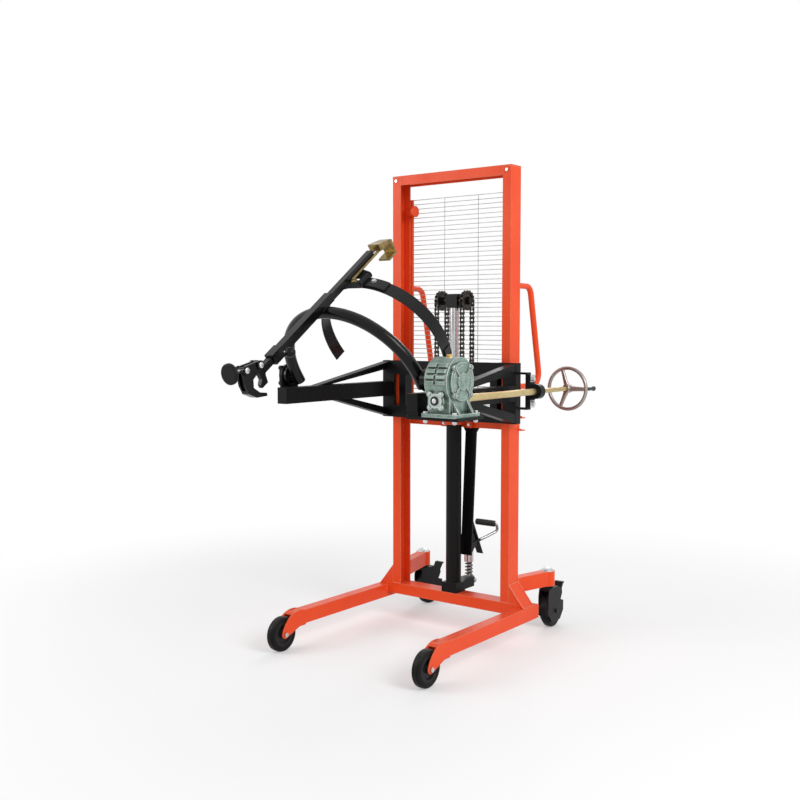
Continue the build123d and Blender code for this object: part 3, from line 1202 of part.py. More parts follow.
plug_z = TILT_Z + GEARBOX_CROWN
plug = bar_z(PLUG_DIA / 2, plug_z - GEARBOX_WALL, plug_z + 1, WORM_X, TILT_Y)
plug += hex_z(PLUG_HEAD, plug_z, plug_z + PLUG_HEAD * 0.47, WORM_X, TILT_Y)
add("filler_plug", plug)

foot_bolts = []
flange_top = BOX_BOTTOM + BASE_FLANGE
for x in FOOT_X:
    for y in FOOT_Y:
        bolt = bar_z(FOOT_BOLT_DIA / 2, PLATFORM_BOTTOM - FOOT_BOLT_DIA * 1.2, flange_top, x, y)
        bolt += hex_z(FOOT_BOLT_HEAD, flange_top, flange_top + FOOT_BOLT_DIA * 0.7, x, y)
        bolt += hex_z(FOOT_BOLT_HEAD, PLATFORM_BOTTOM - FOOT_BOLT_DIA * 0.9, PLATFORM_BOTTOM, x, y)
        foot_bolts.append(bolt)
add("gearbox_bolts", *foot_bolts)

# Left trunnion: a plate welded to the arm's outer side, with a four-bolt flange bearing
TRUNNION_IN = -ARM_OUTER
TRUNNION_OUT = TRUNNION_IN - TRUNNION_PLATE
BEARING_OUT = TRUNNION_OUT - TRUNNION_BEARING
half = TRUNNION_WIDTH / 2
trunnion = box(TRUNNION_OUT, TRUNNION_IN, TILT_Y - half, TILT_Y + half, ARM_BOTTOM, TILT_Z)
trunnion += bar_x(half, TRUNNION_OUT, TRUNNION_IN, TILT_Y, TILT_Z)
trunnion += bar_x(half * 0.66, BEARING_OUT, TRUNNION_OUT, TILT_Y, TILT_Z)
square = TRUNNION_WIDTH * 0.42
flange_out = TRUNNION_OUT - TRUNNION_FLANGE
flange = box(flange_out, TRUNNION_OUT, -square, square, -square, square)
trunnion += Pos(0, TILT_Y, TILT_Z) * flange
for y in (TILT_Y - square * 0.76, TILT_Y + square * 0.76):
    for z in (TILT_Z - square * 0.76, TILT_Z + square * 0.76):
        trunnion += hex_x(TRUNNION_BOLT, flange_out - TRUNNION_BOLT * 0.44, flange_out, y, z)
add("trunnion_bearing", trunnion - bar_x(SHAFT_BORE, BEARING_OUT - 1, TRUNNION_IN + 1, TILT_Y, TILT_Z))

# Drive rod bracket on the carriage's right flange, with its pillow block
BRACKET_OUT_X = WORM_X - BEARING_HEIGHT
BRACKET_Y0 = PLATE_FRONT
BRACKET_Y1 = PLATE_REAR + SIDE_FLANGE * 0.7
BEARING_MIDDLE = (BRACKET_Y0 + BRACKET_Y1) / 2 + BEARING_SHIFT
BEARING_Y0 = BEARING_MIDDLE - BEARING_WIDTH / 2
BEARING_Y1 = BEARING_MIDDLE + BEARING_WIDTH / 2
bracket_low = WORM_Z - BRACKET_HALF_HEIGHT
bracket_high = WORM_Z + BRACKET_HALF_HEIGHT
bracket_in = BRACKET_OUT_X - BRACKET_PLATE
bracket = box(bracket_in, BRACKET_OUT_X, BRACKET_Y0, BRACKET_Y1, bracket_low, bracket_high)
for z0 in (bracket_low, bracket_high - BRACKET_PLATE):
    bracket += box(CARRIAGE_X, BRACKET_OUT_X, BRACKET_Y0, BRACKET_Y1, z0, z0 + BRACKET_PLATE)
NODES["carriage_frame"] += bracket

half = BEARING_LENGTH / 2
foot_out = BRACKET_OUT_X + BEARING_FOOT
dome = BEARING_RADIUS
bearing = box(BRACKET_OUT_X, foot_out, BEARING_Y0, BEARING_Y1, WORM_Z - half, WORM_Z + half)
bearing += box(BRACKET_OUT_X, WORM_X, BEARING_Y0, BEARING_Y1, WORM_Z - dome, WORM_Z + dome)
bearing += bar_y(dome, BEARING_Y0, BEARING_Y1, WORM_X, WORM_Z)
bearing += bar_y(dome * 0.6, BEARING_Y0 - BEARING_LIP, BEARING_Y1 + BEARING_LIP, WORM_X, WORM_Z)
for z in (WORM_Z - BEARING_BOLTS / 2, WORM_Z + BEARING_BOLTS / 2):
    bearing += hex_x(BEARING_BOLT, foot_out, foot_out + BEARING_BOLT * 0.53, BEARING_MIDDLE, z)
rod_hole = bar_y(THIN_ROD_DIA / 2 + RUN, BEARING_Y0 - dome, BEARING_Y1 + dome, WORM_X, WORM_Z)
add("rod_bearing", bearing - rod_hole)

# Worm with its drive rod, hand wheel and turning grip


def worm():
    root = WORM_PITCH_DIA / 2 - 1.2 * GEAR_MODULE
    lead = pi * GEAR_MODULE
    height = WORM_TURNS * lead
    front = BOX_FRONT - COVER_THICK - WORM_END
    joint = BOX_REAR + COVER_THICK + COLLAR_GAP
    shaft = bar_y(JOURNAL_DIA / 2, front, joint, WORM_X, WORM_Z)
    reach = height / 2 + WORM_RELIEF
    shaft += bar_y(root, TILT_Y - reach, TILT_Y + reach, WORM_X, WORM_Z)
    shaft += bar_y(COLLAR_DIA / 2, joint, joint + ROD_COLLAR, WORM_X, WORM_Z)
    rod_end = BEARING_Y0 - BEARING_LIP - FACE_GAP
    shaft += bar_y(DRIVE_ROD_DIA / 2, joint + ROD_COLLAR, rod_end, WORM_X, WORM_Z)
    far_end = HAND_WHEEL_Y + WHEEL_HUB_LENGTH / 2 + WORM_END
    shaft += bar_y(THIN_ROD_DIA / 2, rod_end, far_end, WORM_X, WORM_Z)
    helix = Helix(pitch=lead, height=height, radius=root)
    thick = TOOTH_RATIO * lead
    depth = WORM_TIP_RADIUS - root
    sink = GEAR_MODULE * 0.34
    section = Pos((depth - sink) / 2, 0) * Rectangle(depth + sink, thick)
    profile = Plane(origin=helix @ 0, x_dir=(1, 0, 0), z_dir=helix % 0) * section
    thread = sweep(profile, path=helix, is_frenet=True)
    place = Pos(WORM_X, TILT_Y - height / 2, WORM_Z) * Rot(X=-90)
    return shaft + place * thread


add("worm_rod", worm())


def hand_wheel():
    rim_radius = (HAND_WHEEL_DIA - RIM_TUBE_DIA) / 2
    pieces = []
    for spoke in SPOKE_ANGLES:
        pieces.append(Rot(Y=-spoke) * bar_x(SPOKE_DIA / 2, WHEEL_HUB_DIA / 3, rim_radius - 1.5, 0, 0))
    for third in range(3):
        arc = CenterArc((0, 0, 0), rim_radius, 120 * third - 60, 120)
        profile = Plane(origin=arc @ 0, z_dir=arc % 0) * Circle(RIM_TUBE_DIA / 2)
        pieces.append(Rot(X=90) * sweep(profile, path=arc))
    pieces.append(bar_y(GRIP_PIN_DIA / 2, 0, RIM_TUBE_DIA / 2 + GRIP_LENGTH, rim_radius, 0))
    hub = bar_y(WHEEL_HUB_DIA / 2, -WHEEL_HUB_LENGTH / 2, WHEEL_HUB_LENGTH / 2, 0, 0)
    wheel = hub.fuse(*pieces) - bar_y(THIN_ROD_DIA / 2, -WHEEL_HUB_LENGTH, WHEEL_HUB_LENGTH, 0, 0)
    return Pos(WORM_X, HAND_WHEEL_Y, WORM_Z) * wheel


def wheel_grip():
    x = WORM_X + (HAND_WHEEL_DIA - RIM_TUBE_DIA) / 2
    start = HAND_WHEEL_Y + RIM_TUBE_DIA / 2 + FACE_GAP
    end = start + GRIP_LENGTH
    body = bar_y(GRIP_DIA * 0.36, start, end - 6, x, WORM_Z) + Pos(x, end, WORM_Z) * Sphere(GRIP_DIA / 2)
    pin_end = HAND_WHEEL_Y + RIM_TUBE_DIA / 2 + GRIP_LENGTH
    return body - bar_y(GRIP_PIN_DIA / 2 + RUN, start - 1, pin_end + FACE_GAP, x, WORM_Z)


add("hand_wheel", hand_wheel())
add("wheel_grip", wheel_grip())

# Drum holder, drawn for an upright drum about the tilt axis, then turned into place


def hoop_sweep(diameter):
    arc = ThreePointArc((HOOP_RADIUS, 0, 0), (0, HOOP_RADIUS, 0), (-HOOP_RADIUS, 0, 0))
    path = Wire([Line((HOOP_RADIUS, -HOOP_TAIL, 0), (HOOP_RADIUS, 0, 0)), arc,
                 Line((-HOOP_RADIUS, 0, 0), (-HOOP_RADIUS, -HOOP_TAIL, 0))])
    return sweep(Plane(origin=path @ 0, z_dir=path % 0) * Circle(diameter / 2), path=path)


hoop_outer = hoop_sweep(HOOP_TUBE_DIA)
hoop = hoop_outer - hoop_sweep(HOOP_TUBE_DIA - 2 * HOOP_WALL)
neck_start = HOOP_RADIUS + HOOP_TUBE_DIA / 4
for x0, x1 in ((neck_start, HUB_INNER), (-HUB_INNER, -neck_start)):
    hoop += bar_x(HUB_DIA * 0.3, x0, x1, 0, 0)
for x0, x1 in ((HUB_INNER, HUB_OUTER), (-LEFT_HUB_OUTER, -HUB_INNER)):
    hoop += bar_x(HUB_DIA / 2, x0, x1, 0, 0)
add("tilt_hoop", held(hoop))

right_shaft = bar_x(SHAFT_DIA / 2, HUB_OUTER, BOX_RIGHT - FACE_GAP, 0, 0)
left_shaft = bar_x(SHAFT_DIA / 2, BEARING_OUT - TRUNNION_SHAFT_OUT, -LEFT_HUB_OUTER, 0, 0)
add("tilt_shafts", held(right_shaft), held(left_shaft))


def worm_wheel():
    tip = GEAR_TIP_RADIUS
    root = GEAR_PITCH_RADIUS - 1.25 * GEAR_MODULE
    x0 = WORM_X - GEAR_WIDTH / 2
    x1 = WORM_X + GEAR_WIDTH / 2
    wheel = bar_x(root, x0, x1, 0, 0)
    tooth_half = TOOTH_RATIO * pi * GEAR_MODULE / 2
    lead_angle = degrees(atan2(GEAR_MODULE, WORM_PITCH_DIA))
    reach = GEAR_WIDTH / 2 - tooth_half
    tooth_bar = Rot(Y=-lead_angle) * box(-reach, reach, root - 2, tip, -tooth_half, tooth_half)
    teeth = []
    for tooth in range(GEAR_TEETH):
        angle = -90 - TILT_REST + 360 / GEAR_TEETH * (tooth + 0.5)
        teeth.append(Rot(X=angle) * Pos(WORM_X, 0, 0) * tooth_bar)
    wheel = wheel.fuse(*teeth)
    wheel += bar_x(SHAFT_DIA * 0.75, x0 - 8, x1 + 8, 0, 0)
    return wheel - bar_x(SHAFT_DIA / 2, x0 - 10, x1 + 10, 0, 0)


add("worm_wheel", held(worm_wheel()))


def post():
    half = POST_SIZE / 2
    bore = half - POST_WALL
    foot = FOOT_SIZE / 2
    foot_bore = foot - POST_WALL
    top = POST_HEAD + COLLAR_LENGTH
    collar_half = COLLAR_SIZE / 2
    body = box(-half, half, POST_Y - half, POST_Y + half, FOOT_JOINT, POST_HEAD)
    body += box(-collar_half, collar_half, POST_Y - collar_half, POST_Y + collar_half, POST_HEAD, top)
    body -= box(-bore, bore, POST_Y - bore, POST_Y + bore, FOOT_JOINT + POST_WALL, top + 1)
    lower = box(-foot, foot, POST_INNER, POST_INNER + FOOT_SIZE, -POST_FOOT, FOOT_JOINT)
    y0 = FOOT_POST_Y - foot_bore
    y1 = FOOT_POST_Y + foot_bore
    plug_top = -POST_FOOT + PLUG_LENGTH
    lower -= box(-foot_bore, foot_bore, y0, y1, plug_top, FOOT_JOINT - 1)
    lower -= bar_z(CLAW_ROD_DIA / 2 + RUN, -POST_FOOT - 1, plug_top + 1, 0, FOOT_POST_Y)
    body += lower
    body -= bar_x(LOCK_STEM_DIA / 2 + RUN, bore - 1, collar_half + 1, POST_Y, LOCK_Z)
    return body - hoop_outer


BAND_PIN_Y = BAND_OUTER + BAND_PIN_RISE
LUG_HALF_SPAN = BAND_WIDTH / 2 + FACE_GAP


def band_lug(z0):
    eye = KNUCKLE_DIA / 2 + LUG_RIM
    root = Pos(0, (BAND_PIN_Y + POST_INNER) / 2) * Rectangle(FOOT_SIZE, POST_INNER - BAND_PIN_Y)
    edges = root.edges()
    for side in (-1, 1):
        edges += (Pos(side * BAND_PIN_X, BAND_PIN_Y) * Circle(eye)).edges()
    plate = Pos(0, 0, z0) * extrude(make_hull(edges), LUG_PLATE)
    keep = box(-HOOP_RADIUS, HOOP_RADIUS, 0, POST_INNER, z0 - 1, z0 + LUG_PLATE + 1)
    return plate & keep


lugs = []
for z0 in (BAND_Z - LUG_HALF_SPAN - LUG_PLATE, BAND_Z + LUG_HALF_SPAN):
    lugs.append(band_lug(z0))
pins = []
for side in (-1, 1):
    reach = LUG_HALF_SPAN + LUG_PLATE + PIN_HEAD
    pins.append(bar_z(BAND_PIN_DIA / 2, BAND_Z - reach, BAND_Z + reach, side * BAND_PIN_X, BAND_PIN_Y))
add("post", held(post().fuse(*lugs, *pins)))


def wedge(first, last, z0, z1):
    """A slice of a wide disc between two angles."""
    reach = 2 * BAND_OUTER
    corners = [(0, 0)]
    for step in range(13):
        angle = radians(first + (last - first) * step / 12)
        corners.append((reach * cos(angle), reach * sin(angle)))
    return Pos(0, 0, z0) * extrude(make_face(Polyline(*corners, close=True)), z1 - z0)


def band_arm():
    z0 = BAND_Z - BAND_WIDTH / 2
    z1 = BAND_Z + BAND_WIDTH / 2
    start = degrees(atan2(BAND_PIN_Y, BAND_PIN_X))
    band = bar_z(BAND_OUTER, z0, z1, 0, 0) & wedge(BAND_END_ANGLE, start, z0, z1)
    pad_low = z0 + PAD_INSET
    pad_high = z1 - PAD_INSET
    pad = bar_z(BAND_OUTER + PAD_THICK, pad_low, pad_high, 0, 0)
    band += pad & wedge(start - PAD_ANGLE, start, pad_low, pad_high)
    band += bar_z(KNUCKLE_DIA / 2, z0, z1, BAND_PIN_X, BAND_PIN_Y)
    band -= bar_z(BAND_INNER, z0 - 1, z1 + 1, 0, 0)
    reach = BAND_OUTER + END_LUG_THICK
    lug_low = z0 + END_LUG_INSET
    lug_high = z1 - END_LUG_INSET
    end = box(BAND_OUTER - 1, reach, -END_LUG / 2, END_LUG / 2, lug_low, lug_high)
    band += Rot(Z=BAND_END_ANGLE + END_LUG_ANGLE) * end
    return band - bar_z(BAND_PIN_DIA / 2 + RUN, z0 - 1, z1 + 1, BAND_PIN_X, BAND_PIN_Y)


add("band_arm_right", held(band_arm()))
add("band_arm_left", held(flip(band_arm())))


def bottom_claw():
    half = CLAW_WIDTH / 2
    top = -POST_FOOT - CLAW_GAP
    low = -POST_FOOT - CLAW_DROP
    t = CLAW_PLATE
    inner = CLAW_LIP_RADIUS
    lip_top = low + CLAW_LIP
    shape = [
        (FOOT_POST_Y + t * 2.33, top),
        (FOOT_POST_Y - t * 0.44, low + t * 0.9),
        (FOOT_POST_Y - t * 0.9, low),
        (inner, low),
        (inner, lip_top),
        (inner + t, lip_top),
        (inner + t, low + t),
        (FOOT_POST_Y - t * 1.8, low + t * 1.44),
        (FOOT_POST_Y - t * 1.56, top - t * 1.33),
        (FOOT_POST_Y - t * 1.1, top),
    ]
    claw = slab_yz(shape, -half, half)
    claw += bar_z(CLAW_ROD_DIA / 2, top - t, -POST_FOOT + PLUG_LENGTH + CLAW_ROD_IN, 0, FOOT_POST_Y)
    x0 = FOOT_SIZE / 2 + FACE_GAP
    y0 = POST_INNER + FACE_GAP
    foot = -CLAW_STRIP_FOOT
    claw += box(x0, x0 + CLAW_STRIP_THICK, y0, y0 + CLAW_STRIP_WIDTH, low + t * 1.5, foot)
    claw += box(x0, x0 + CLAW_STRIP_TOE, y0, y0 + CLAW_STRIP_WIDTH, foot - CLAW_STRIP_THICK, foot)
    return claw


add("bottom_claw", held(bottom_claw()))

# Head clamp: sliding tube, jaw, screw with its disc, and the lock knob
JAW_Y = POST_Y + JAW_PIVOT_RISE
BOSS_Y = POST_Y + JAW_BOSS_RISE


def clamp_tube():
    half = POST_SIZE / 2 - POST_WALL - SLIDE_GAP
    collar_top = POST_HEAD + COLLAR_LENGTH
    end = collar_top + CLAMP_TUBE_OUT
    start = collar_top - CLAMP_TUBE_INSIDE
    body = box(-half, half, POST_Y - half, POST_Y + half, start, end)
    bore = half - POST_WALL
    body -= box(-bore, bore, POST_Y - bore, POST_Y + bore, start - 1, end - CLAMP_TUBE_PLUG)
    nose = RIM_RADIUS + NOSE_OUT
    nose_top = JAW_PIVOT_Z + NOSE_RISE
    shoulder = JAW_PIVOT_Z + NOSE_RISE / 2
    shape = [
        (POST_Y - half, end - POST_WALL),
        (POST_Y + half, end - POST_WALL),
        (JAW_Y + JAW_PIN_DIA * 1.4, JAW_PIVOT_Z - JAW_PIN_DIA),
        (JAW_Y + JAW_PIN_DIA * 1.4, JAW_PIVOT_Z + JAW_PIN_DIA * 1.2),
        (POST_Y + half, shoulder),
        (POST_INNER - JAW_PIN_DIA * 0.6, shoulder),
        (nose + JAW_PIN_DIA * 1.4, nose_top),
        (nose, nose_top),
        (nose, JAW_PIVOT_Z - JAW_PIN_DIA * 0.2),
        (POST_INNER - JAW_PIN_DIA * 0.4, end + JAW_PIN_DIA * 0.2),
    ]
    body += slab_yz(shape, -BLOCK_WIDTH / 2, BLOCK_WIDTH / 2)
    pin = BLOCK_WIDTH / 2 + FACE_GAP + JAW_PLATE + PIN_HEAD
    return body + bar_x(JAW_PIN_DIA / 2, -pin, pin, JAW_Y, JAW_PIVOT_Z)


add("clamp_tube", held(clamp_tube()))

SCREW = Pos(0, BOSS_Y, JAW_BOSS_Z) * Rot(X=-CLAMP_SCREW_TILT)


def clamp_jaw():
    inner = BLOCK_WIDTH / 2 + FACE_GAP
    outer = inner + JAW_PLATE
    tip = RIM_RADIUS - JAW_BITE
    boss = JAW_BOSS_DIA
    beak = [
        (JAW_Y - boss * 0.5, JAW_PIVOT_Z - boss * 0.31),
        (JAW_Y + boss * 0.5, JAW_PIVOT_Z - boss * 0.31),
        (BOSS_Y + boss * 0.58, JAW_BOSS_Z - boss * 0.23),
        (BOSS_Y + boss * 0.23, JAW_BOSS_Z + boss * 0.62),
        (POST_Y + boss * 0.54, JAW_BOSS_Z + boss * 1.38),
        (POST_INNER - boss * 0.15, JAW_BOSS_Z + boss * 1.46),
        (tip + boss * 0.69, JAW_BOSS_Z + boss * 0.54),
        (tip - boss * 0.35, JAW_PIVOT_Z + boss * 1.38),
        (tip + boss * 0.08, JAW_PIVOT_Z + boss * 1.23),
        (tip + boss * 0.92, JAW_PIVOT_Z + boss * 2.23),
        (POST_INNER, JAW_BOSS_Z + boss * 0.23),
        (POST_Y + boss * 0.31, JAW_BOSS_Z - boss * 0.38),
    ]
    jaw = slab_yz(beak, -outer, outer)
    slot_top = JAW_PIVOT_Z + NOSE_RISE + FACE_GAP * 4
    past = boss * 2.3
    jaw -= box(-inner, inner, POST_INNER - past, BOSS_Y + past, JAW_PIVOT_Z - past, slot_top)
    jaw -= box(-inner, inner, POST_Y - boss * 0.38, BOSS_Y + past, slot_top - 1, JAW_BOSS_Z + past)
    jaw += bar_x(boss / 2, -outer, outer, BOSS_Y, JAW_BOSS_Z)
    for x0 in (inner, -outer):
        jaw += bar_x(boss / 2, x0, x0 + JAW_PLATE, JAW_Y, JAW_PIVOT_Z)
    jaw -= bar_x(JAW_PIN_DIA / 2 + RUN, -outer - 1, outer + 1, JAW_Y, JAW_PIVOT_Z)
    return jaw - SCREW * bar_z(CLAMP_SCREW_DIA / 2 + RUN, -past, past, 0, 0)


add("clamp_jaw", held(clamp_jaw()))

screw = bar_z(CLAMP_SCREW_DIA / 2, -CLAMP_SCREW_IN, CLAMP_SCREW_OUT, 0, 0)
disc = bar_z(CLAMP_DISC_DIA / 2, CLAMP_SCREW_OUT, CLAMP_SCREW_OUT + CLAMP_DISC, 0, 0)
disc = fillet(disc.edges(), CLAMP_DISC * 0.35)
add("clamp_screw", held(SCREW * (screw + disc)))

stem_start = POST_SIZE / 2 - POST_WALL - SLIDE_GAP + FACE_GAP
lock = bar_x(LOCK_STEM_DIA / 2, stem_start, COLLAR_SIZE / 2 + LOCK_STEM, POST_Y, LOCK_Z)
lock += Pos(COLLAR_SIZE / 2 + LOCK_STEM + LOCK_BALL_DIA * 0.4, POST_Y, LOCK_Z) * Sphere(LOCK_BALL_DIA / 2)
add("lock_knob", held(lock))

os.makedirs("parts", exist_ok=True)
for name, shape in NODES.items():
    export_step(shape, f"parts/{name}.step")
print(len(NODES), "nodes written")
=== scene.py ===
# %% [markdown]
# # A hydraulic drum truck
#
# The truck is a tall orange mast on wheels. A foot pump raises a black carriage on two chains,
# and a hand wheel turns a worm gear that tips the drum holder in front of it.
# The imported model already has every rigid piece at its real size, so this lesson keeps those
# meshes, gives each one a finish, and models only what a solid cannot show well: chain links,
# round wires, a wound spring, weld beads, tyres with a rounded tread, a cast hand wheel, and small
# bright fasteners.

# %% Load the frame
import json
from math import cos, pi, radians, sin

import bmesh
import bpy
from mathutils import Matrix, Vector


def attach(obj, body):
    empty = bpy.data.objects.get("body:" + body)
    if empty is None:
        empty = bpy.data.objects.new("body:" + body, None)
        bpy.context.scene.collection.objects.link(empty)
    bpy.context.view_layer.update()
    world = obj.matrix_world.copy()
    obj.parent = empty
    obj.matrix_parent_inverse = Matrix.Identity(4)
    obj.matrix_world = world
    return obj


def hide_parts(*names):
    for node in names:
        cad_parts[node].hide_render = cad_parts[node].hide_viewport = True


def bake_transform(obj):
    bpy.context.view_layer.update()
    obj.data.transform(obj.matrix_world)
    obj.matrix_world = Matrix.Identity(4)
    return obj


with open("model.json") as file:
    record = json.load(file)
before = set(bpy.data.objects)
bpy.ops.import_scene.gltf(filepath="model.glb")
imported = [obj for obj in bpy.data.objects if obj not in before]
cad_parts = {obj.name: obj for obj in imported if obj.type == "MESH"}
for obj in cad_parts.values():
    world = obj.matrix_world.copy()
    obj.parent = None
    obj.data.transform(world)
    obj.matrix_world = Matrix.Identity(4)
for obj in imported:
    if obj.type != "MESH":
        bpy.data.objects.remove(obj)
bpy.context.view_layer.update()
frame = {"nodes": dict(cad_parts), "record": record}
nodes = frame["nodes"]
scene = bpy.context.scene
print("pieces from the packed model:", len(nodes))

# %% [markdown]
# ## The camera
#
# The viewpoint was solved from straight edges of the mast and the legs. A normal lens stands
# about five metres away, a little above the middle of the mast, and looks slightly down.

# %% Place the camera
LENS_MM = 47.30
CAMERA_PLACE = (2.6955, -3.9545, 1.3776)
CAMERA_TURN = 37.23
CAMERA_DIP = 3.895

camera_data = bpy.data.cameras.new("photo_camera")
camera_data.sensor_width = 36.0
camera_data.lens = LENS_MM
camera = bpy.data.objects.new("photo_camera", camera_data)
camera.location = CAMERA_PLACE
camera.rotation_euler = (radians(90 - CAMERA_DIP), 0, radians(CAMERA_TURN))
scene.collection.objects.link(camera)
scene.camera = camera
print("camera distance to the mast:", round(Vector(CAMERA_PLACE).length, 2), "m")

# %% [markdown]
# ## Light and floor
#
# A product picture has a white room: light from all sides, one large soft lamp on the right that
# shapes the tubes, and weaker ones on the left and behind. The world is white only to the camera,
# to mirrors and through glass. The light that reaches the paint stays at a plain level, so colours
# look as written. Small helpers add nodes, fill their inputs and link them. One more makes the mask
# of seen rays, because the floor uses it too.


# %% Helpers for nodes
def add_node(tree, kind, **settings):
    """A new node in a tree, with some of its settings."""
    made = tree.nodes.new(kind)
    for key, value in settings.items():
        setattr(made, key, value)
    return made


def fill(node, **values):
    """Set a node's inputs by name, with _ for each space."""
    for key, value in values.items():
        node.inputs[key.replace("_", " ")].default_value = value


def join(tree, *pairs):
    """Link sockets in a node tree, pair by pair."""
    for start, end in pairs:
        tree.links.new(start, end)


def seen_rays(tree):
    """1 for rays from the camera, from reflections and through glass, else 0."""
    rays = add_node(tree, "ShaderNodeLightPath")
    mask = rays.outputs["Is Camera Ray"]
    for label in ("Is Glossy Ray", "Is Transmission Ray"):
        larger = add_node(tree, "ShaderNodeMath", operation="MAXIMUM")
        join(tree, (mask, larger.inputs[0]), (rays.outputs[label], larger.inputs[1]))
        mask = larger.outputs[0]
    return mask


print("helpers for nodes ready")

# %% Light the room
AIR_LIGHT = 0.56
scene.view_settings.view_transform = "Standard"
world = bpy.data.worlds.new("white_room")
world.use_nodes = True
scene.world = world
air = world.node_tree
air.nodes.clear()
air_out = add_node(air, "ShaderNodeOutputWorld")
air_mix = add_node(air, "ShaderNodeMixShader")
for slot, strength in ((1, AIR_LIGHT), (2, 1.0)):
    glow = add_node(air, "ShaderNodeBackground")
    fill(glow, Color=(1.0, 1.0, 1.0, 1.0), Strength=strength)
    join(air, (glow.outputs[0], air_mix.inputs[slot]))
join(air, (seen_rays(air), air_mix.inputs[0]), (air_mix.outputs[0], air_out.inputs["Surface"]))
print("light from all sides:", AIR_LIGHT)


# %% Hang the lamps
def soft_lamp(name, place, aim, size, watts):
    """A square area lamp that looks at a point."""
    data = bpy.data.lights.new(name, "AREA")
    data.shape = "SQUARE"
    data.size = size
    data.energy = watts
    lamp = bpy.data.objects.new(name, data)
    lamp.location = place
    look = Vector(aim) - Vector(place)
    lamp.rotation_euler = look.to_track_quat("-Z", "Y").to_euler()
    scene.collection.objects.link(lamp)


RIGHT_WATTS = 150
LEFT_WATTS = 60
BACK_WATTS = 55
soft_lamp("right_lamp", (4.8, -1.4, 3.6), (0.0, -0.2, 0.9), 2.4, RIGHT_WATTS)
soft_lamp("left_lamp", (-3.2, -3.6, 2.6), (0.0, -0.3, 1.0), 2.0, LEFT_WATTS)
soft_lamp("back_lamp", (-1.5, 4.0, 3.6), (0.0, 0.0, 1.0), 2.0, BACK_WATTS)
print("lamps:", len(bpy.data.lights))

# %% [markdown]
# The floor is a wide pale sheet. Close to the wheels it is a plain surface that holds the truck's
# shadow. Further out it turns into clean white for the camera, so no horizon line shows.

# %% Lay the floor
FLOOR_REACH = 30.0
FLOOR_NEAR = 1.3
FLOOR_FAR = 3.0
FLOOR_LIFT = 0.28
FLOOR_COLOUR = (0.93, 0.93, 0.935, 1.0)
r = FLOOR_REACH
floor_mesh = bpy.data.meshes.new("studio_floor")
floor_mesh.from_pydata([(-r, -r, 0), (r, -r, 0), (r, r, 0), (-r, r, 0)], [], [(0, 1, 2, 3)])
floor = bpy.data.objects.new("studio_floor", floor_mesh)
scene.collection.objects.link(floor)

floor_mat = bpy.data.materials.new("pale_floor")
floor_mat.use_nodes = True
ground = floor_mat.node_tree
floor_shader = ground.nodes["Principled BSDF"]
fill(floor_shader, Base_Color=FLOOR_COLOUR, Roughness=0.9, Specular_IOR_Level=0.1)
floor_white = add_node(ground, "ShaderNodeEmission")
floor_place = add_node(ground, "ShaderNodeNewGeometry")
floor_reach = add_node(ground, "ShaderNodeVectorMath", operation="LENGTH")
floor_fade = add_node(ground, "ShaderNodeMapRange", interpolation_type="SMOOTHSTEP")
fill(floor_fade, From_Min=FLOOR_NEAR, From_Max=FLOOR_FAR, To_Min=FLOOR_LIFT)
floor_share = add_node(ground, "ShaderNodeMath", operation="MULTIPLY")
floor_mix = add_node(ground, "ShaderNodeMixShader")
join(
    ground,
    (floor_place.outputs["Position"], floor_reach.inputs[0]),
    (floor_reach.outputs["Value"], floor_fade.inputs["Value"]),
    (floor_fade.outputs["Result"], floor_share.inputs[0]),
    (seen_rays(ground), floor_share.inputs[1]),
    (floor_share.outputs[0], floor_mix.inputs[0]),
    (floor_shader.outputs[0], floor_mix.inputs[1]),
    (floor_white.outputs[0], floor_mix.inputs[2]),
    (floor_mix.outputs[0], ground.nodes["Material Output"].inputs["Surface"]),
)
floor_mesh.materials.append(floor_mat)
print("floor reaches", FLOOR_REACH, "m each way")

# %% [markdown]
# ## Shared surface effects
#
# Every finish on the truck needs the same few things: a soft edge that catches light, a painted
# highlight and worn paint on that edge, slow drift in the colour, a fine grain, dust on top and
# painted shade in corners. Each effect is one node group with named sockets, built once. The shaders stay
# in the materials.


# %% Effect: rounded and worn edges
FLOAT = "NodeSocketFloat"
VECTOR = "NodeSocketVector"


def new_group(name, inputs, outputs):
    """A shader node group; inputs are numbers by name, outputs are socket kinds by name."""
    group = bpy.data.node_groups.new(name, "ShaderNodeTree")
    for label, start in inputs.items():
        group.interface.new_socket(label, in_out="INPUT", socket_type=FLOAT).default_value = start
    for label, kind in outputs.items():
        group.interface.new_socket(label, in_out="OUTPUT", socket_type=kind)
    return group, group.nodes.new("NodeGroupInput"), group.nodes.new("NodeGroupOutput")


def remap(tree, low, high):
    """A node that stretches the values from low to high over 0 to 1."""
    made = add_node(tree, "ShaderNodeMapRange")
    fill(made, From_Min=low, From_Max=high)
    return made


def product(tree):
    """A node that multiplies two values."""
    return add_node(tree, "ShaderNodeMath", operation="MULTIPLY")


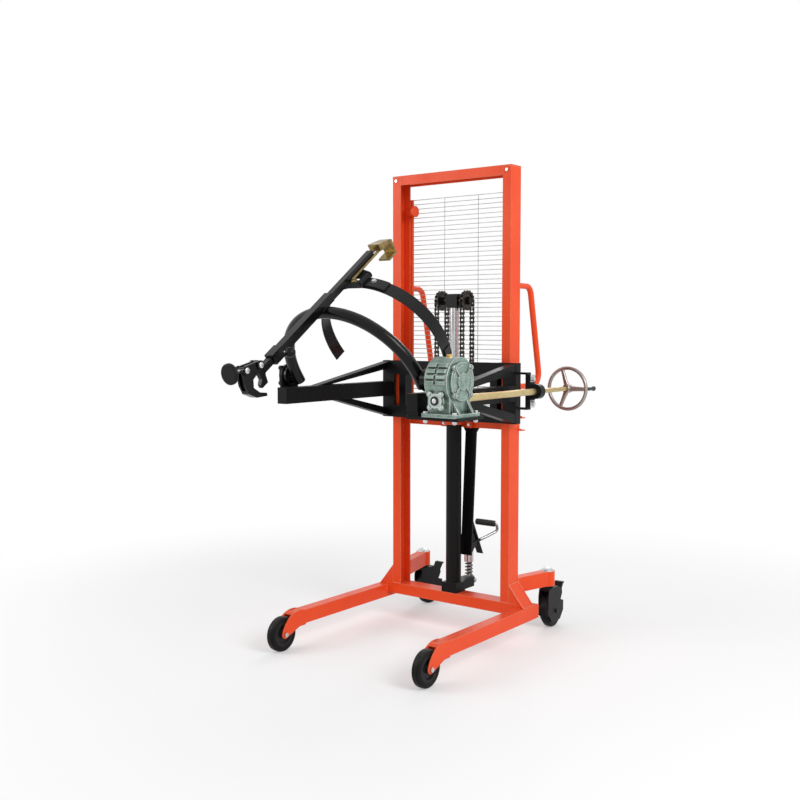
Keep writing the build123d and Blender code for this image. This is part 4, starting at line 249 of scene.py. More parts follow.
edge_group, e_in, e_out = new_group(
    "soft_edges",
    {"Radius": 0.0015, "Wear Scale": 60.0},
    {"Edge": FLOAT, "Wear": FLOAT, "Normal": VECTOR},
)
edge_bevel = add_node(edge_group, "ShaderNodeBevel", samples=4)
edge_flat = add_node(edge_group, "ShaderNodeNewGeometry")
edge_dot = add_node(edge_group, "ShaderNodeVectorMath", operation="DOT_PRODUCT")
edge_range = remap(edge_group, 0.995, 0.86)
edge_spots = add_node(edge_group, "ShaderNodeTexNoise")
fill(edge_spots, Detail=3.0)
edge_where = add_node(edge_group, "ShaderNodeTexCoord")
edge_cut = remap(edge_group, 0.42, 0.62)
edge_times = product(edge_group)
join(
    edge_group,
    (e_in.outputs["Radius"], edge_bevel.inputs["Radius"]),
    (edge_bevel.outputs["Normal"], edge_dot.inputs[0]),
    (edge_flat.outputs["Normal"], edge_dot.inputs[1]),
    (edge_dot.outputs["Value"], edge_range.inputs["Value"]),
    (edge_where.outputs["Object"], edge_spots.inputs["Vector"]),
    (e_in.outputs["Wear Scale"], edge_spots.inputs["Scale"]),
    (edge_spots.outputs["Fac"], edge_cut.inputs["Value"]),
    (edge_range.outputs["Result"], edge_times.inputs[0]),
    (edge_cut.outputs["Result"], edge_times.inputs[1]),
    (edge_range.outputs["Result"], e_out.inputs["Edge"]),
    (edge_times.outputs[0], e_out.inputs["Wear"]),
    (edge_bevel.outputs["Normal"], e_out.inputs["Normal"]),
)
print("group", edge_group.name, "ready")

# %% Effect: slow drift and fine grain
drift_group, d_in, d_out = new_group(
    "drift_and_grain", {"Drift Scale": 6.0, "Grain Scale": 900.0}, {"Drift": FLOAT, "Grain": FLOAT}
)
drift_where = add_node(drift_group, "ShaderNodeTexCoord")
drift_noise = add_node(drift_group, "ShaderNodeTexNoise")
fill(drift_noise, Detail=4.0, Roughness=0.55)
drift_range = remap(drift_group, 0.3, 0.7)
grain_noise = add_node(drift_group, "ShaderNodeTexNoise")
fill(grain_noise, Detail=2.0)
join(
    drift_group,
    (drift_where.outputs["Object"], drift_noise.inputs["Vector"]),
    (drift_where.outputs["Object"], grain_noise.inputs["Vector"]),
    (d_in.outputs["Drift Scale"], drift_noise.inputs["Scale"]),
    (d_in.outputs["Grain Scale"], grain_noise.inputs["Scale"]),
    (drift_noise.outputs["Fac"], drift_range.inputs["Value"]),
    (drift_range.outputs["Result"], d_out.inputs["Drift"]),
    (grain_noise.outputs["Fac"], d_out.inputs["Grain"]),
)
print("group", drift_group.name, "ready")

# %% Effect: dust on what faces up
dust_group, u_in, u_out = new_group("settled_dust", {"Amount": 0.1, "Scale": 35.0}, {"Dust": FLOAT})
dust_where = add_node(dust_group, "ShaderNodeTexCoord")
dust_noise = add_node(dust_group, "ShaderNodeTexNoise")
fill(dust_noise, Detail=5.0)
dust_face = add_node(dust_group, "ShaderNodeNewGeometry")
dust_split = add_node(dust_group, "ShaderNodeSeparateXYZ")
dust_up = remap(dust_group, 0.35, 0.95)
dust_times = product(dust_group)
dust_scale = product(dust_group)
join(
    dust_group,
    (dust_where.outputs["Object"], dust_noise.inputs["Vector"]),
    (u_in.outputs["Scale"], dust_noise.inputs["Scale"]),
    (dust_face.outputs["Normal"], dust_split.inputs[0]),
    (dust_split.outputs["Z"], dust_up.inputs["Value"]),
    (dust_up.outputs["Result"], dust_times.inputs[0]),
    (dust_noise.outputs["Fac"], dust_times.inputs[1]),
    (dust_times.outputs[0], dust_scale.inputs[0]),
    (u_in.outputs["Amount"], dust_scale.inputs[1]),
    (dust_scale.outputs[0], u_out.inputs["Dust"]),
)
print("group", dust_group.name, "ready")

# %% Effect: painted shade in corners
corner_group, c_in, c_out = new_group("painted_corner_shade", {"Reach": 0.012, "Amount": 0.6}, {"Corner Shade": FLOAT})
# Ambient occlusion becomes painted shade: the mask rises where faces of the piece crowd close together.
corner_open = add_node(corner_group, "ShaderNodeAmbientOcclusion", samples=12, only_local=True)
corner_range = remap(corner_group, 0.85, 0.25)
corner_times = product(corner_group)
join(
    corner_group,
    (c_in.outputs["Reach"], corner_open.inputs["Distance"]),
    (corner_open.outputs["AO"], corner_range.inputs["Value"]),
    (corner_range.outputs["Result"], corner_times.inputs[0]),
    (c_in.outputs["Amount"], corner_times.inputs[1]),
    (corner_times.outputs[0], c_out.inputs["Corner Shade"]),
)
print("group", corner_group.name, "ready")


# %% [markdown]
# ## Finishes
#
# Paint on steel is a coloured base with a fine orange-peel bump, and lighter edges from a painted
# highlight and from wear.
# Castings under hammertone paint have round dimples. Yellow zinc plate is a metal whose colour
# drifts between straw and tan. Colours are written as they look on screen, 0 to 255, and
# turned into linear light where they are mixed.


# %% Helpers for materials
def linear(colour, share=1.0):
    """A share of a screen colour's linear light."""
    values = []
    for part in colour:
        c = part / 255
        values.append((c / 12.92 if c <= 0.04045 else ((c + 0.055) / 1.055) ** 2.4) * share)
    return (*values, 1.0)


class Finish:
    """One material with its shader, and short ways to add nodes and links to it."""

    def __init__(self, name, roughness=0.4, metallic=0.0, specular=0.5):
        self.material = bpy.data.materials.new(name)
        self.material.use_nodes = True
        self.tree = self.material.node_tree
        self.shader = self.tree.nodes["Principled BSDF"]
        fill(self.shader, Roughness=roughness, Metallic=metallic, Specular_IOR_Level=specular)

    def node(self, kind, **settings):
        return add_node(self.tree, kind, **settings)

    def link(self, start, end):
        self.tree.links.new(start, end)

    def effect(self, group, **values):
        made = self.node("ShaderNodeGroup", node_tree=group)
        fill(made, **values)
        return made

    def mix(self, factor, first, second, most=None):
        """Two colours (screen or linear) or sockets, mixed by a value that goes up to most only."""
        if most is not None:
            factor = self.span(factor, 0.0, most)
        made = self.node("ShaderNodeMix", data_type="RGBA")
        self.link(factor, made.inputs["Factor"])
        for socket, value in ((made.inputs[6], first), (made.inputs[7], second)):
            if isinstance(value, tuple):
                socket.default_value = value if len(value) == 4 else linear(value)
            else:
                self.link(value, socket)
        return made.outputs[2]

    def span(self, value, low, high):
        """A 0 to 1 value stretched between two others."""
        made = self.node("ShaderNodeMapRange")
        fill(made, To_Min=low, To_Max=high)
        self.link(value, made.inputs["Value"])
        return made.outputs["Result"]

    def bump(self, height, depth, normal):
        made = self.node("ShaderNodeBump")
        fill(made, Distance=depth)
        self.link(height, made.inputs["Height"])
        self.link(normal, made.inputs["Normal"])
        self.link(made.outputs["Normal"], self.shader.inputs["Normal"])

    def colour(self, socket):
        self.link(socket, self.shader.inputs["Base Color"])

    def rough(self, socket):
        self.link(socket, self.shader.inputs["Roughness"])


print("helpers for materials ready")


# %% Kinds of finish
DUST_COLOUR = (188, 184, 176)


def enamel(name, base, deep, worn, roughness, specular=0.5, edge=0.002, wear=0.5, edge_highlight=0.0):
    """Sprayed enamel: colour drift, painted highlight and wear on edges, painted shade in corners, dust on
    top, orange peel.
    """
    finish = Finish(name, roughness, specular=specular)
    edges = finish.effect(edge_group, Radius=edge, Wear_Scale=70.0)
    drift = finish.effect(drift_group, Drift_Scale=5.0, Grain_Scale=650.0)
    corners = finish.effect(corner_group, Reach=0.010, Amount=0.45)
    top = finish.effect(dust_group, Amount=0.06)
    paint = finish.mix(drift.outputs["Drift"], base, deep)
    # Painted shade: a darker copy of the deep colour where faces crowd together.
    paint = finish.mix(corners.outputs["Corner Shade"], paint, linear(deep, 0.35))
    # Painted highlight: every rounded edge is lightened toward the worn colour. The noisy mask below is
    # real wear.
    paint = finish.mix(edges.outputs["Edge"], paint, worn, edge_highlight)
    paint = finish.mix(edges.outputs["Wear"], paint, worn, wear)
    finish.colour(finish.mix(top.outputs["Dust"], paint, DUST_COLOUR))
    finish.rough(finish.span(drift.outputs["Drift"], roughness - 0.05, roughness + 0.07))
    finish.bump(drift.outputs["Grain"], 0.00012, edges.outputs["Normal"])
    return finish


def plated(name, base, other, roughness, drift_scale=25.0):
    """Plated or bare metal whose colour and gloss drift a little, with painted shade in its corners."""
    finish = Finish(name, roughness, metallic=1.0)
    edges = finish.effect(edge_group, Radius=0.001, Wear_Scale=120.0)
    drift = finish.effect(drift_group, Drift_Scale=drift_scale, Grain_Scale=1400.0)
    corners = finish.effect(corner_group, Reach=0.006, Amount=0.7)
    metal = finish.mix(drift.outputs["Drift"], base, other)
    # Painted shade: a darker copy of the metal where faces crowd together.
    finish.colour(finish.mix(corners.outputs["Corner Shade"], metal, linear(other, 0.3)))
    finish.rough(finish.span(drift.outputs["Drift"], roughness - 0.07, roughness + 0.1))
    finish.bump(drift.outputs["Grain"], 0.00005, edges.outputs["Normal"])
    return finish


def moulded(name, base, worn, roughness, grain=0.0001, grain_scale=900.0, specular=0.35):
    """Rubber or moulded plastic with a fine skin and scuffed edges."""
    finish = Finish(name, roughness, specular=specular)
    edges = finish.effect(edge_group, Radius=0.0012, Wear_Scale=90.0)
    drift = finish.effect(drift_group, Drift_Scale=18.0, Grain_Scale=grain_scale)
    top = finish.effect(dust_group, Amount=0.10)
    surface = finish.mix(drift.outputs["Drift"], base, worn, 0.35)
    surface = finish.mix(edges.outputs["Wear"], surface, worn, 0.6)
    finish.colour(finish.mix(top.outputs["Dust"], surface, DUST_COLOUR))
    finish.rough(finish.span(drift.outputs["Drift"], roughness - 0.05, roughness + 0.12))
    finish.bump(drift.outputs["Grain"], grain, edges.outputs["Normal"])
    return finish


print("kinds of finish ready")

# %% Paints
orange = enamel(
    "orange_enamel", (234, 80, 36), (229, 72, 30), (246, 152, 112),
    0.30, specular=0.18, edge=0.0045, wear=0.6, edge_highlight=0.5,
)
# Painted highlight: the weld beads get a lighter orange than the frame's paint.
weld_orange_highlit = enamel("orange_weld_highlight", (242, 122, 84), (234, 96, 60), (250, 186, 156), 0.24)
black = enamel("satin_black", (15, 15, 16), (10, 10, 11), (70, 70, 70), 0.38, specular=0.14, wear=0.6)
gloss_black = enamel("gloss_black", (12, 12, 13), (8, 8, 9), (66, 66, 66), 0.15, specular=0.22)
dark_core = enamel("dark_casting", (26, 26, 28), (18, 18, 20), (112, 112, 112), 0.34, specular=0.2)
print("paints ready")

# %% [markdown]
# The gearbox is cast iron under hammertone paint, which holds fine metal flakes. It sets in shallow
# round dimples, so its height comes from a cell pattern. Broad pale patches are a painted sheen. Ribs
# and edges carry a painted highlight, and painted shade darkens the gaps between them and the places
# where two castings meet.

# %% Hammertone paint
HAMMER_CELLS = 320.0
HAMMER_DEPTH = 0.00007
HAMMER_GREEN = (92, 117, 105)
HAMMER_RISE = (112, 136, 125)
HAMMER_SHEEN_PATCH = (156, 175, 166)
HAMMER_PALE = (206, 219, 212)
HAMMER_EDGE_HIGHLIGHT = (240, 246, 242)
HAMMER_CORNER_SHADE = (40, 54, 48)
HAMMER_GAP_SHADE = (14, 20, 17)


def hammertone(name, pale_beyond=None):
    """Green hammertone with painted sheen, a painted highlight on edges, painted shade in gaps and where
    parts touch, and paler past a plane (point, direction).
    """
    finish = Finish(name, 0.30, metallic=0.35, specular=0.4)
    edges = finish.effect(edge_group, Radius=0.0045, Wear_Scale=80.0)
    drift = finish.effect(drift_group, Drift_Scale=34.0, Grain_Scale=500.0)
    corners = finish.effect(corner_group, Reach=0.030, Amount=1.0)
    gaps = finish.effect(corner_group, Reach=0.009, Amount=0.9)
    where = finish.node("ShaderNodeTexCoord")
    cells = finish.node("ShaderNodeTexVoronoi", feature="SMOOTH_F1")
    fill(cells, Scale=HAMMER_CELLS)
    finish.link(where.outputs["Object"], cells.inputs["Vector"])
    dimple = cells.outputs["Distance"]
    # Painted shade where another casting comes close: occlusion across all objects darkens the colour.
    contact_occlusion = finish.node("ShaderNodeAmbientOcclusion", samples=12)
    fill(contact_occlusion, Distance=0.013)
    contact_shade = remap(finish.tree, 0.80, 0.35)
    finish.link(contact_occlusion.outputs["AO"], contact_shade.inputs["Value"])
    paint = finish.mix(dimple, HAMMER_GREEN, HAMMER_RISE)
    # Painted sheen: broad pale patches that stand in for reflections on the casting.
    paint = finish.mix(drift.outputs["Drift"], paint, HAMMER_SHEEN_PATCH, 0.8)
    if pale_beyond is not None:
        paint = finish.mix(beyond(finish, *pale_beyond), paint, HAMMER_PALE, 0.75)
    # Painted shade: dark in corners, and darker still in narrow gaps.
    paint = finish.mix(corners.outputs["Corner Shade"], paint, HAMMER_CORNER_SHADE)
    paint = finish.mix(gaps.outputs["Corner Shade"], paint, HAMMER_GAP_SHADE)
    # Painted highlight: every rounded edge turns near white.
    paint = finish.mix(edges.outputs["Edge"], paint, HAMMER_EDGE_HIGHLIGHT, 0.9)
    finish.colour(finish.mix(contact_shade.outputs["Result"], paint, HAMMER_GAP_SHADE, 0.9))
    finish.rough(finish.span(dimple, 0.22, 0.38))
    finish.bump(dimple, HAMMER_DEPTH, edges.outputs["Normal"])
    return finish


hammer = hammertone("green_hammertone")
print("paint:", hammer.material.name)

# %% Metals
zinc_yellow = plated("yellow_zinc", (208, 190, 138), (196, 172, 122), 0.34)
# A darker copy of the yellow zinc for the claw: painted shade, and more worn plate.
claw_zinc_shaded = plated("worn_and_shaded_yellow_zinc", (168, 148, 98), (118, 104, 70), 0.30, drift_scale=34.0)
bright = plated("bright_zinc", (212, 213, 215), (188, 190, 193), 0.30)
wire_zinc = plated("wire_zinc", (188, 189, 191), (160, 161, 164), 0.42)
chain_dark = plated("oiled_chain", (74, 70, 66), (48, 46, 44), 0.36, drift_scale=60.0)
chrome = plated("hard_chrome", (206, 207, 209), (196, 197, 200), 0.12)
wheel_alloy = plated("polished_alloy", (176, 168, 164), (148, 136, 131), 0.32, drift_scale=9.0)
brass = plated("turned_brass", (214, 176, 96), (190, 148, 74), 0.28)
print("metals ready")

# %% Rubber and plastic
tyre = moulded("tyre_rubber", (8, 8, 9), (30, 29, 28), 0.40, 0.0002, 420.0, specular=0.13)
knob = moulded("black_plastic", (20, 20, 21), (58, 58, 58), 0.34)
caster_shell = moulded("caster_shell", (9, 9, 10), (46, 46, 45), 0.34, specular=0.12)
grip_rubber = moulded("grip_rubber", (22, 22, 23), (52, 52, 52), 0.52, grain_scale=300.0)
print("rubber and plastic ready")


# %% [markdown]
# Some nodes are one solid on the model but two materials in life, such as the pump pedal with its
# chrome rod. Planes split them: what lies beyond all planes of a group gets the bright finish. The
# split uses the model's own coordinates, so it stays on the piece when the piece moves.


# %% Two finishes on one node
WORN_GREY = (74, 74, 74)


def beyond(finish, point, direction):
    """1 where a place on the piece lies past point along direction, else 0."""
    where = finish.node("ShaderNodeTexCoord")
    shift = finish.node("ShaderNodeVectorMath", operation="SUBTRACT")
    shift.inputs[1].default_value = point
    reach = finish.node("ShaderNodeVectorMath", operation="DOT_PRODUCT")
    reach.inputs[1].default_value = direction
    side = finish.node("ShaderNodeMath", operation="GREATER_THAN")
    side.inputs[1].default_value = 0.0
    finish.link(where.outputs["Object"], shift.inputs[0])
    finish.link(shift.outputs[0], reach.inputs[0])
    finish.link(reach.outputs["Value"], side.inputs[0])
    return side.outputs[0]


def gather(finish, operation, masks):
    """Masks joined into one by a math operation."""
    joined = masks[0]
    for mask in masks[1:]:
        made = finish.node("ShaderNodeMath", operation=operation)
        finish.link(joined, made.inputs[0])
        finish.link(mask, made.inputs[1])
        joined = made.outputs[0]
    return joined


def painted_and_bright(name, groups, metal, metal_rough, paint=(17, 17, 18), paint_rough=0.36):
    """Paint, black unless a colour is given, but bright metal past all the planes of any one group."""
    finish = Finish(name, specular=0.16)
    edges = finish.effect(edge_group, Radius=0.0015, Wear_Scale=70.0)
    drift = finish.effect(drift_group, Drift_Scale=9.0, Grain_Scale=700.0)
    parts = []
    for planes in groups:
        sides = [beyond(finish, point, direction) for point, direction in planes]
        parts.append(gather(finish, "MULTIPLY", sides))
    mask = gather(finish, "MAXIMUM", parts)
    coat = finish.mix(edges.outputs["Wear"], paint, WORN_GREY, 0.5)
    finish.colour(finish.mix(mask, coat, metal))
    finish.rough(finish.span(mask, paint_rough, metal_rough))
    finish.link(mask, finish.shader.inputs["Metallic"])
    finish.bump(drift.outputs["Grain"], 0.0001, edges.outputs["Normal"])
    return finish


SILVER = (206, 207, 209)
GREY_CHROME = (150, 151, 154)
pedal_rod = ((0, 0.099, 0.568), (0, 0.884, 0.466))
knob_stem = ((0.049, 0, 0), (-1, 0, 0))
below_crosshead = ((0, 0, 1.470), (0, 0, -1))
bearing_face = ((0.4345, 0, 0), (1, 0, 0))
bearing_top = ((0, 0, 1.150), (0, 0, 1))
bearing_foot = ((0, 0, 1.070), (0, 0, -1))
bearing_bolts = [[bearing_face, bearing_top], [bearing_face, bearing_foot]]
anchor_rod = ((0, 0, 0.9995), (0, 0, 1))
front_worm_cover = ((0, -0.7846, 0), (0, -1, 0))
pedal_finish = painted_and_bright("pedal_with_chrome_rod", [[pedal_rod]], GREY_CHROME, 0.20)
lock_finish = painted_and_bright("lock_knob_with_stem", [[knob_stem]], SILVER, 0.25)
rod_finish = painted_and_bright("piston_with_crosshead", [[below_crosshead]], SILVER, 0.12)
bearing_finish = painted_and_bright("bearing_with_bolts", bearing_bolts, SILVER, 0.3)
anchor_finish = painted_and_bright(
    "anchor_with_rod", [[anchor_rod]], SILVER, 0.3, paint=(226, 74, 34), paint_rough=0.32
)
cover_hammer = hammertone("green_hammertone_covers", front_worm_cover)
print("split finishes ready")

# %% [markdown]
# The drum holder is tipped to the photo's tilt. It is easier to think of it with the drum standing
# upright, so one helper takes a place on the upright holder and gives it at that tilt.

# %% The tipped holder
TILT = radians(126)
TILT_AXIS = Vector((0.0, -0.700, 1.180))


def held_way(x, y, z):
    """A direction on the upright holder, tipped to the photo's tilt."""
    return Vector((x, y * cos(TILT) - z * sin(TILT), y * sin(TILT) + z * cos(TILT)))


def held(x, y, z):
    """A place on the upright holder, tipped to the photo's tilt."""
    return TILT_AXIS + held_way(x, y, z)


SCREW_TILT = radians(26)
SCREW_OUT = 0.0545
JAW_BOSS = (0.409, 0.480)
screw_way = held_way(0, sin(SCREW_TILT), cos(SCREW_TILT))
screw_shoulder = held(0, *JAW_BOSS) + screw_way * SCREW_OUT
screw_finish = painted_and_bright(
    "jaw_screw_with_disc", [[(screw_shoulder, -screw_way)]], SILVER, 0.28, paint=(20, 20, 21)
)
print("jaw screw points along", [round(part, 3) for part in screw_way])

# %% [markdown]
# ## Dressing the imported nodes
#
# Each node takes the finish of its record slot, with a few exceptions: split finishes, glossier
# black on the drum holder, and darker plastic on the casters.


# %% Give every node its finish
SLOT_FINISH = {
    "orange_paint": orange,
    "black_paint": black,
    "green_paint": hammer,
    "zinc_yellow": zinc_yellow,
    "bright_steel": bright,
    "guard_wire": wire_zinc,
    "chain_steel": chain_dark,
    "chrome_rod": chrome,
    "wheel_casting": wheel_alloy,
    "wheel_core": dark_core,
    "tyre_rubber": tyre,
    "black_plastic": knob,
    "brass_plug": brass,
}
NODE_FINISH = {
    "foot_pedal": pedal_finish,
    "lock_knob": lock_finish,
    "piston_rod": rod_finish,
    "rod_bearing": bearing_finish,
    "clamp_screw": screw_finish,
    "bottom_claw": claw_zinc_shaded,
    "chain_anchors": anchor_finish,
    "gearbox_covers": cover_hammer,
    "caster_fork_left": caster_shell,
    "caster_fork_right": caster_shell,
}
for label in ("tilt_hoop", "post", "band_arm_left", "band_arm_right", "clamp_tube", "clamp_jaw"):
    NODE_FINISH[label] = gloss_black


def dress(obj, finish):
    obj.data.materials.clear()
    obj.data.materials.append(finish.material)


for entry in frame["record"]["subparts"]:
    label = entry["node"]
    dress(nodes[label], NODE_FINISH.get(label, SLOT_FINISH[entry["material_slot"]]))


# %% [markdown]
# ## Helpers for new pieces
#
# New pieces are built straight into meshes with bmesh. A piece is joined from simple closed forms,
# then placed in the scene, given a finish, and set to ride on a body when one is given. Its faces
# are shaded smooth, but edges sharper than 35 degrees stay crisp.


# %% Mesh helpers
SHARP = radians(35)
DOME_WALL = 0.3
WASHER_ROUND = 0.66
WASHER_RISE = 0.18
CHAMFER_START = 0.84
CHAMFER_TOP = 0.8


def piece(name, shell, finish, body=None):
    """Turn a shell into a named object with a finish; ride it on a body if one is given."""
    bmesh.ops.recalc_face_normals(shell, faces=shell.faces)
    mesh = bpy.data.meshes.new(name)
    shell.to_mesh(mesh)
    shell.free()
    mesh.polygons.foreach_set("use_smooth", [True] * len(mesh.polygons))
    mesh.set_sharp_from_angle(angle=SHARP)
    mesh.materials.append(finish.material)
    obj = bpy.data.objects.new(name, mesh)
    scene.collection.objects.link(obj)
    if body is not None:
        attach(obj, body)
    return obj


def ring_of(shell, centre, side, other, radius, sides):
    """A ring of points round a centre, or the centre alone where the radius is nothing."""
    if radius < 1e-6:
        return [shell.verts.new(centre)]
    ring = []
    for step in range(sides):
        a = 2 * pi * step / sides
        ring.append(shell.verts.new(centre + (side * cos(a) + other * sin(a)) * radius))
    return ring


def skin(shell, rings):
    """Faces between each ring and the next; a ring of one point makes a fan."""
    for first, second in zip(rings, rings[1:]):
        count = max(len(first), len(second))
        for step in range(count):
            nxt = (step + 1) % count
            if len(first) == 1:
                shell.faces.new((first[0], second[nxt], second[step]))
            elif len(second) == 1:
                shell.faces.new((first[step], first[nxt], second[0]))
            else:
                shell.faces.new((first[step], first[nxt], second[nxt], second[step]))


def add_turned(shell, base, axis, profile, sides=32, loop=False):
    """A turned form: rows of (reach along the axis, radius). A loop joins its last row to the first."""
    along = Vector(axis).normalized()
    side = along.orthogonal().normalized()
    other = along.cross(side)
    rings = []
    for reach, radius in profile:
        rings.append(ring_of(shell, Vector(base) + along * reach, side, other, radius, sides))
    if loop:
        rings.append(rings[0])
    skin(shell, rings)


def add_rod(shell, start, end, radius, sides=12):
    """A closed round bar from start to end."""
    along = Vector(end) - Vector(start)
    reach = along.length
    add_turned(shell, start, along, [(0, 0), (0, radius), (reach, radius), (reach, 0)], sides)


def add_box(shell, low, high):
    size = Vector(high) - Vector(low)
    centre = (Vector(high) + Vector(low)) / 2
    place = Matrix.Translation(centre) @ Matrix.Diagonal((*size, 1.0))
    bmesh.ops.create_cube(shell, size=1.0, matrix=place)


def add_tube(shell, points, radii, sides=8):
    """A closed tube through points with its own radius at each, rings carried along without twist."""
    places = [Vector(p) for p in points]
    rings = []
    side = None
    for index, at in enumerate(places):
        ahead = places[min(index + 1, len(places) - 1)]
        behind = places[max(index - 1, 0)]
        along = (ahead - behind).normalized()
        if side is None:
            side = along.orthogonal().normalized()
        side = (side - along * side.dot(along)).normalized()
        rings.append(ring_of(shell, at, side, along.cross(side), radii[index], sides))
    skin(shell, rings)
    shell.faces.new(list(reversed(rings[0])))
    shell.faces.new(rings[-1])


def add_dome(shell, place, axis, radius, height, sides=24):
    """A round head with a domed top, as on a pin or a rivet."""
    rows = [(0, 0), (0, radius), (height * DOME_WALL, radius)]
    for step in range(1, 6):
        a = pi / 2 * step / 6
        rows.append((height * (DOME_WALL + (1 - DOME_WALL) * sin(a)), radius * cos(a)))
    add_turned(shell, place, axis, rows + [(height, 0)], sides)


def add_bolt(shell, place, axis, across, height):
    """A hexagon head with a turned chamfer, on a round washer."""
    washer = across * WASHER_ROUND
    corner = across / 2 / cos(pi / 6)
    low = height * WASHER_RISE
    chamfer = height * CHAMFER_START
    add_turned(shell, place, axis, [(0, 0), (0, washer), (low, washer), (low, 0)], 24)
    rows = [(low, 0), (low, corner), (chamfer, corner), (height, corner * CHAMFER_TOP), (height, 0)]
    add_turned(shell, place, axis, rows, 6)


print("mesh helpers ready")

# %% [markdown]
# ## Lift chains
#
# The chains are roller chain: pairs of eight-shaped plates, wide and narrow in turn, on pins with
# rollers between them. On the chain wheels the teeth fill the links, so only the pin ends are made
# there. The links over the chain wheels ride on the piston.


# %% Shape one link
PLATE_WIDE = 0.0088
PLATE_NARROW = 0.0062
PLATE_THICK = 0.0018
PLATE_ROUND = 0.0075
PLATE_WAIST = 0.55
ARC_POINTS = 7
PIN_HALF = 0.0102
PIN_ROUND = 0.0028
ROLLER_HALF = 0.0052
ROLLER_ROUND = 0.0058
ACROSS = Vector((1, 0, 0))


def add_plate(shell, first, second, offset):
    """One eight-shaped link plate between two pin places, standing off sideways by offset."""
    a = Vector(first)
    b = Vector(second)
    along = (b - a).normalized()
    up = ACROSS.cross(along)
    outline = []
    for centre, sign in ((a, -1), (b, 1)):
        for step in range(ARC_POINTS):
            angle = -pi / 2 + pi * step / (ARC_POINTS - 1)
            outline.append(centre + (along * cos(angle) + up * sin(angle)) * sign * PLATE_ROUND)
        outline.append((a + b) / 2 + up * sign * PLATE_ROUND * PLATE_WAIST)
    near = [shell.verts.new(p + ACROSS * (offset - PLATE_THICK / 2)) for p in outline]
    far = [shell.verts.new(p + ACROSS * (offset + PLATE_THICK / 2)) for p in outline]
    shell.faces.new(near)
    shell.faces.new(list(reversed(far)))
    for index in range(len(outline)):
        nxt = (index + 1) % len(outline)
        shell.faces.new((near[nxt], near[index], far[index], far[nxt]))


def add_chain(shell, pins, first_wide, on_teeth):
    """Links along a row of pins; the first on_teeth pins sit on a chain wheel, so only their ends show."""
    for index, (a, b) in enumerate(zip(pins, pins[1:])):
        wide = (index % 2 == 0) == first_wide
        reach = PLATE_WIDE if wide else PLATE_NARROW
        for sign in (-1, 1):
            add_plate(shell, a, b, sign * reach)
    for index, pin in enumerate(pins):
        p = Vector(pin)
        if index < on_teeth:
            for sign in (-1, 1):
                out = ACROSS * sign
                add_rod(shell, p + out * PLATE_NARROW, p + out * PIN_HALF, PIN_ROUND, 10)
        else:
            add_rod(shell, p - ACROSS * PIN_HALF, p + ACROSS * PIN_HALF, PIN_ROUND, 10)
            add_rod(shell, p - ACROSS * ROLLER_HALF, p + ACROSS * ROLLER_HALF, ROLLER_ROUND, 14)


print("one link is", round(2 * PIN_HALF * 1000, 1), "mm wide")

# %% Build the chains
CHAIN_TOP = 1.502
CHAIN_LOW = 1.040
CHAIN_COUNT = 24
WRAP_COUNT = 7
PINS_ON_TEETH = 3
CHAIN_X = 0.069
CHAIN_Y = 0.0398


def straight_pins(side, y):
    step = (CHAIN_TOP - CHAIN_LOW) / CHAIN_COUNT
    return [(side * CHAIN_X, y, CHAIN_TOP - step * n) for n in range(CHAIN_COUNT + 1)]


def wrap_pins(side):
    pins = []
    for n in range(WRAP_COUNT + 1):
        angle = pi * n / WRAP_COUNT
        pins.append((side * CHAIN_X, -CHAIN_Y * cos(angle), CHAIN_TOP + CHAIN_Y * sin(angle)))
    return pins


front_run = bmesh.new()
rear_run = bmesh.new()
wrap_run = bmesh.new()
for side in (-1, 1):
    add_chain(front_run, straight_pins(side, -CHAIN_Y), True, PINS_ON_TEETH)
    add_chain(rear_run, straight_pins(side, CHAIN_Y), True, PINS_ON_TEETH)
    add_chain(wrap_run, wrap_pins(side), False, WRAP_COUNT + 1)

front_links = piece("front_chain_links", front_run, chain_dark)
rear_links = piece("rear_chain_links", rear_run, chain_dark)
wrap_links = piece("chain_wheel_links", wrap_run, chain_dark, "piston")
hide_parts("front_chains")
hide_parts("rear_chains")
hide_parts("chain_wraps")
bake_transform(front_links)
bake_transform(rear_links)
print("links in the two chains:", 2 * (2 * CHAIN_COUNT + WRAP_COUNT))

# %% [markdown]
# ## Wire guard
#
# The guard is a panel of thin round wires: many level ones, and two upright ones behind them where
# they are spot welded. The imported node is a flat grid, so round wires stand in its place, welded to
# two flat rails on the mast.

# %% Build the wire guard
WIRE_ROUND = 0.0015
GUARD_LOW = 0.9874
GUARD_STEP = 0.021
GUARD_BARS = 48
GUARD_HALF = 0.2846
GUARD_Y = 0.0515
GUARD_FRONT = 0.040
RAIL_WIDE = 0.020
UPRIGHT_WIRE_X = 0.092
WIRE_GAP = 0.002
WELDED_APART = 1.6
guard = bmesh.new()
wire_end = GUARD_HALF - WIRE_GAP
for bar in range(GUARD_BARS):
    z = GUARD_LOW + WIRE_ROUND + bar * GUARD_STEP
    add_rod(guard, (-wire_end, GUARD_Y, z), (wire_end, GUARD_Y, z), WIRE_ROUND, 8)
guard_top = GUARD_LOW + 2 * WIRE_ROUND + (GUARD_BARS - 1) * GUARD_STEP
behind = GUARD_Y + WELDED_APART * WIRE_ROUND
for x in (-UPRIGHT_WIRE_X, UPRIGHT_WIRE_X):
    add_rod(guard, (x, behind, GUARD_LOW), (x, behind, guard_top), WIRE_ROUND, 8)
guard_obj = piece("guard_wires", guard, wire_zinc, "truck_frame")
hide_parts("guard_mesh")

rails = bmesh.new()
for side in (-1, 1):
    x0, x1 = sorted((side * GUARD_HALF, side * (GUARD_HALF - RAIL_WIDE)))
    add_box(rails, (x0, GUARD_FRONT, GUARD_LOW), (x1, GUARD_Y - WIRE_ROUND, guard_top))
piece("guard_rails", rails, orange, "truck_frame")
print("guard wires:", GUARD_BARS + 2)

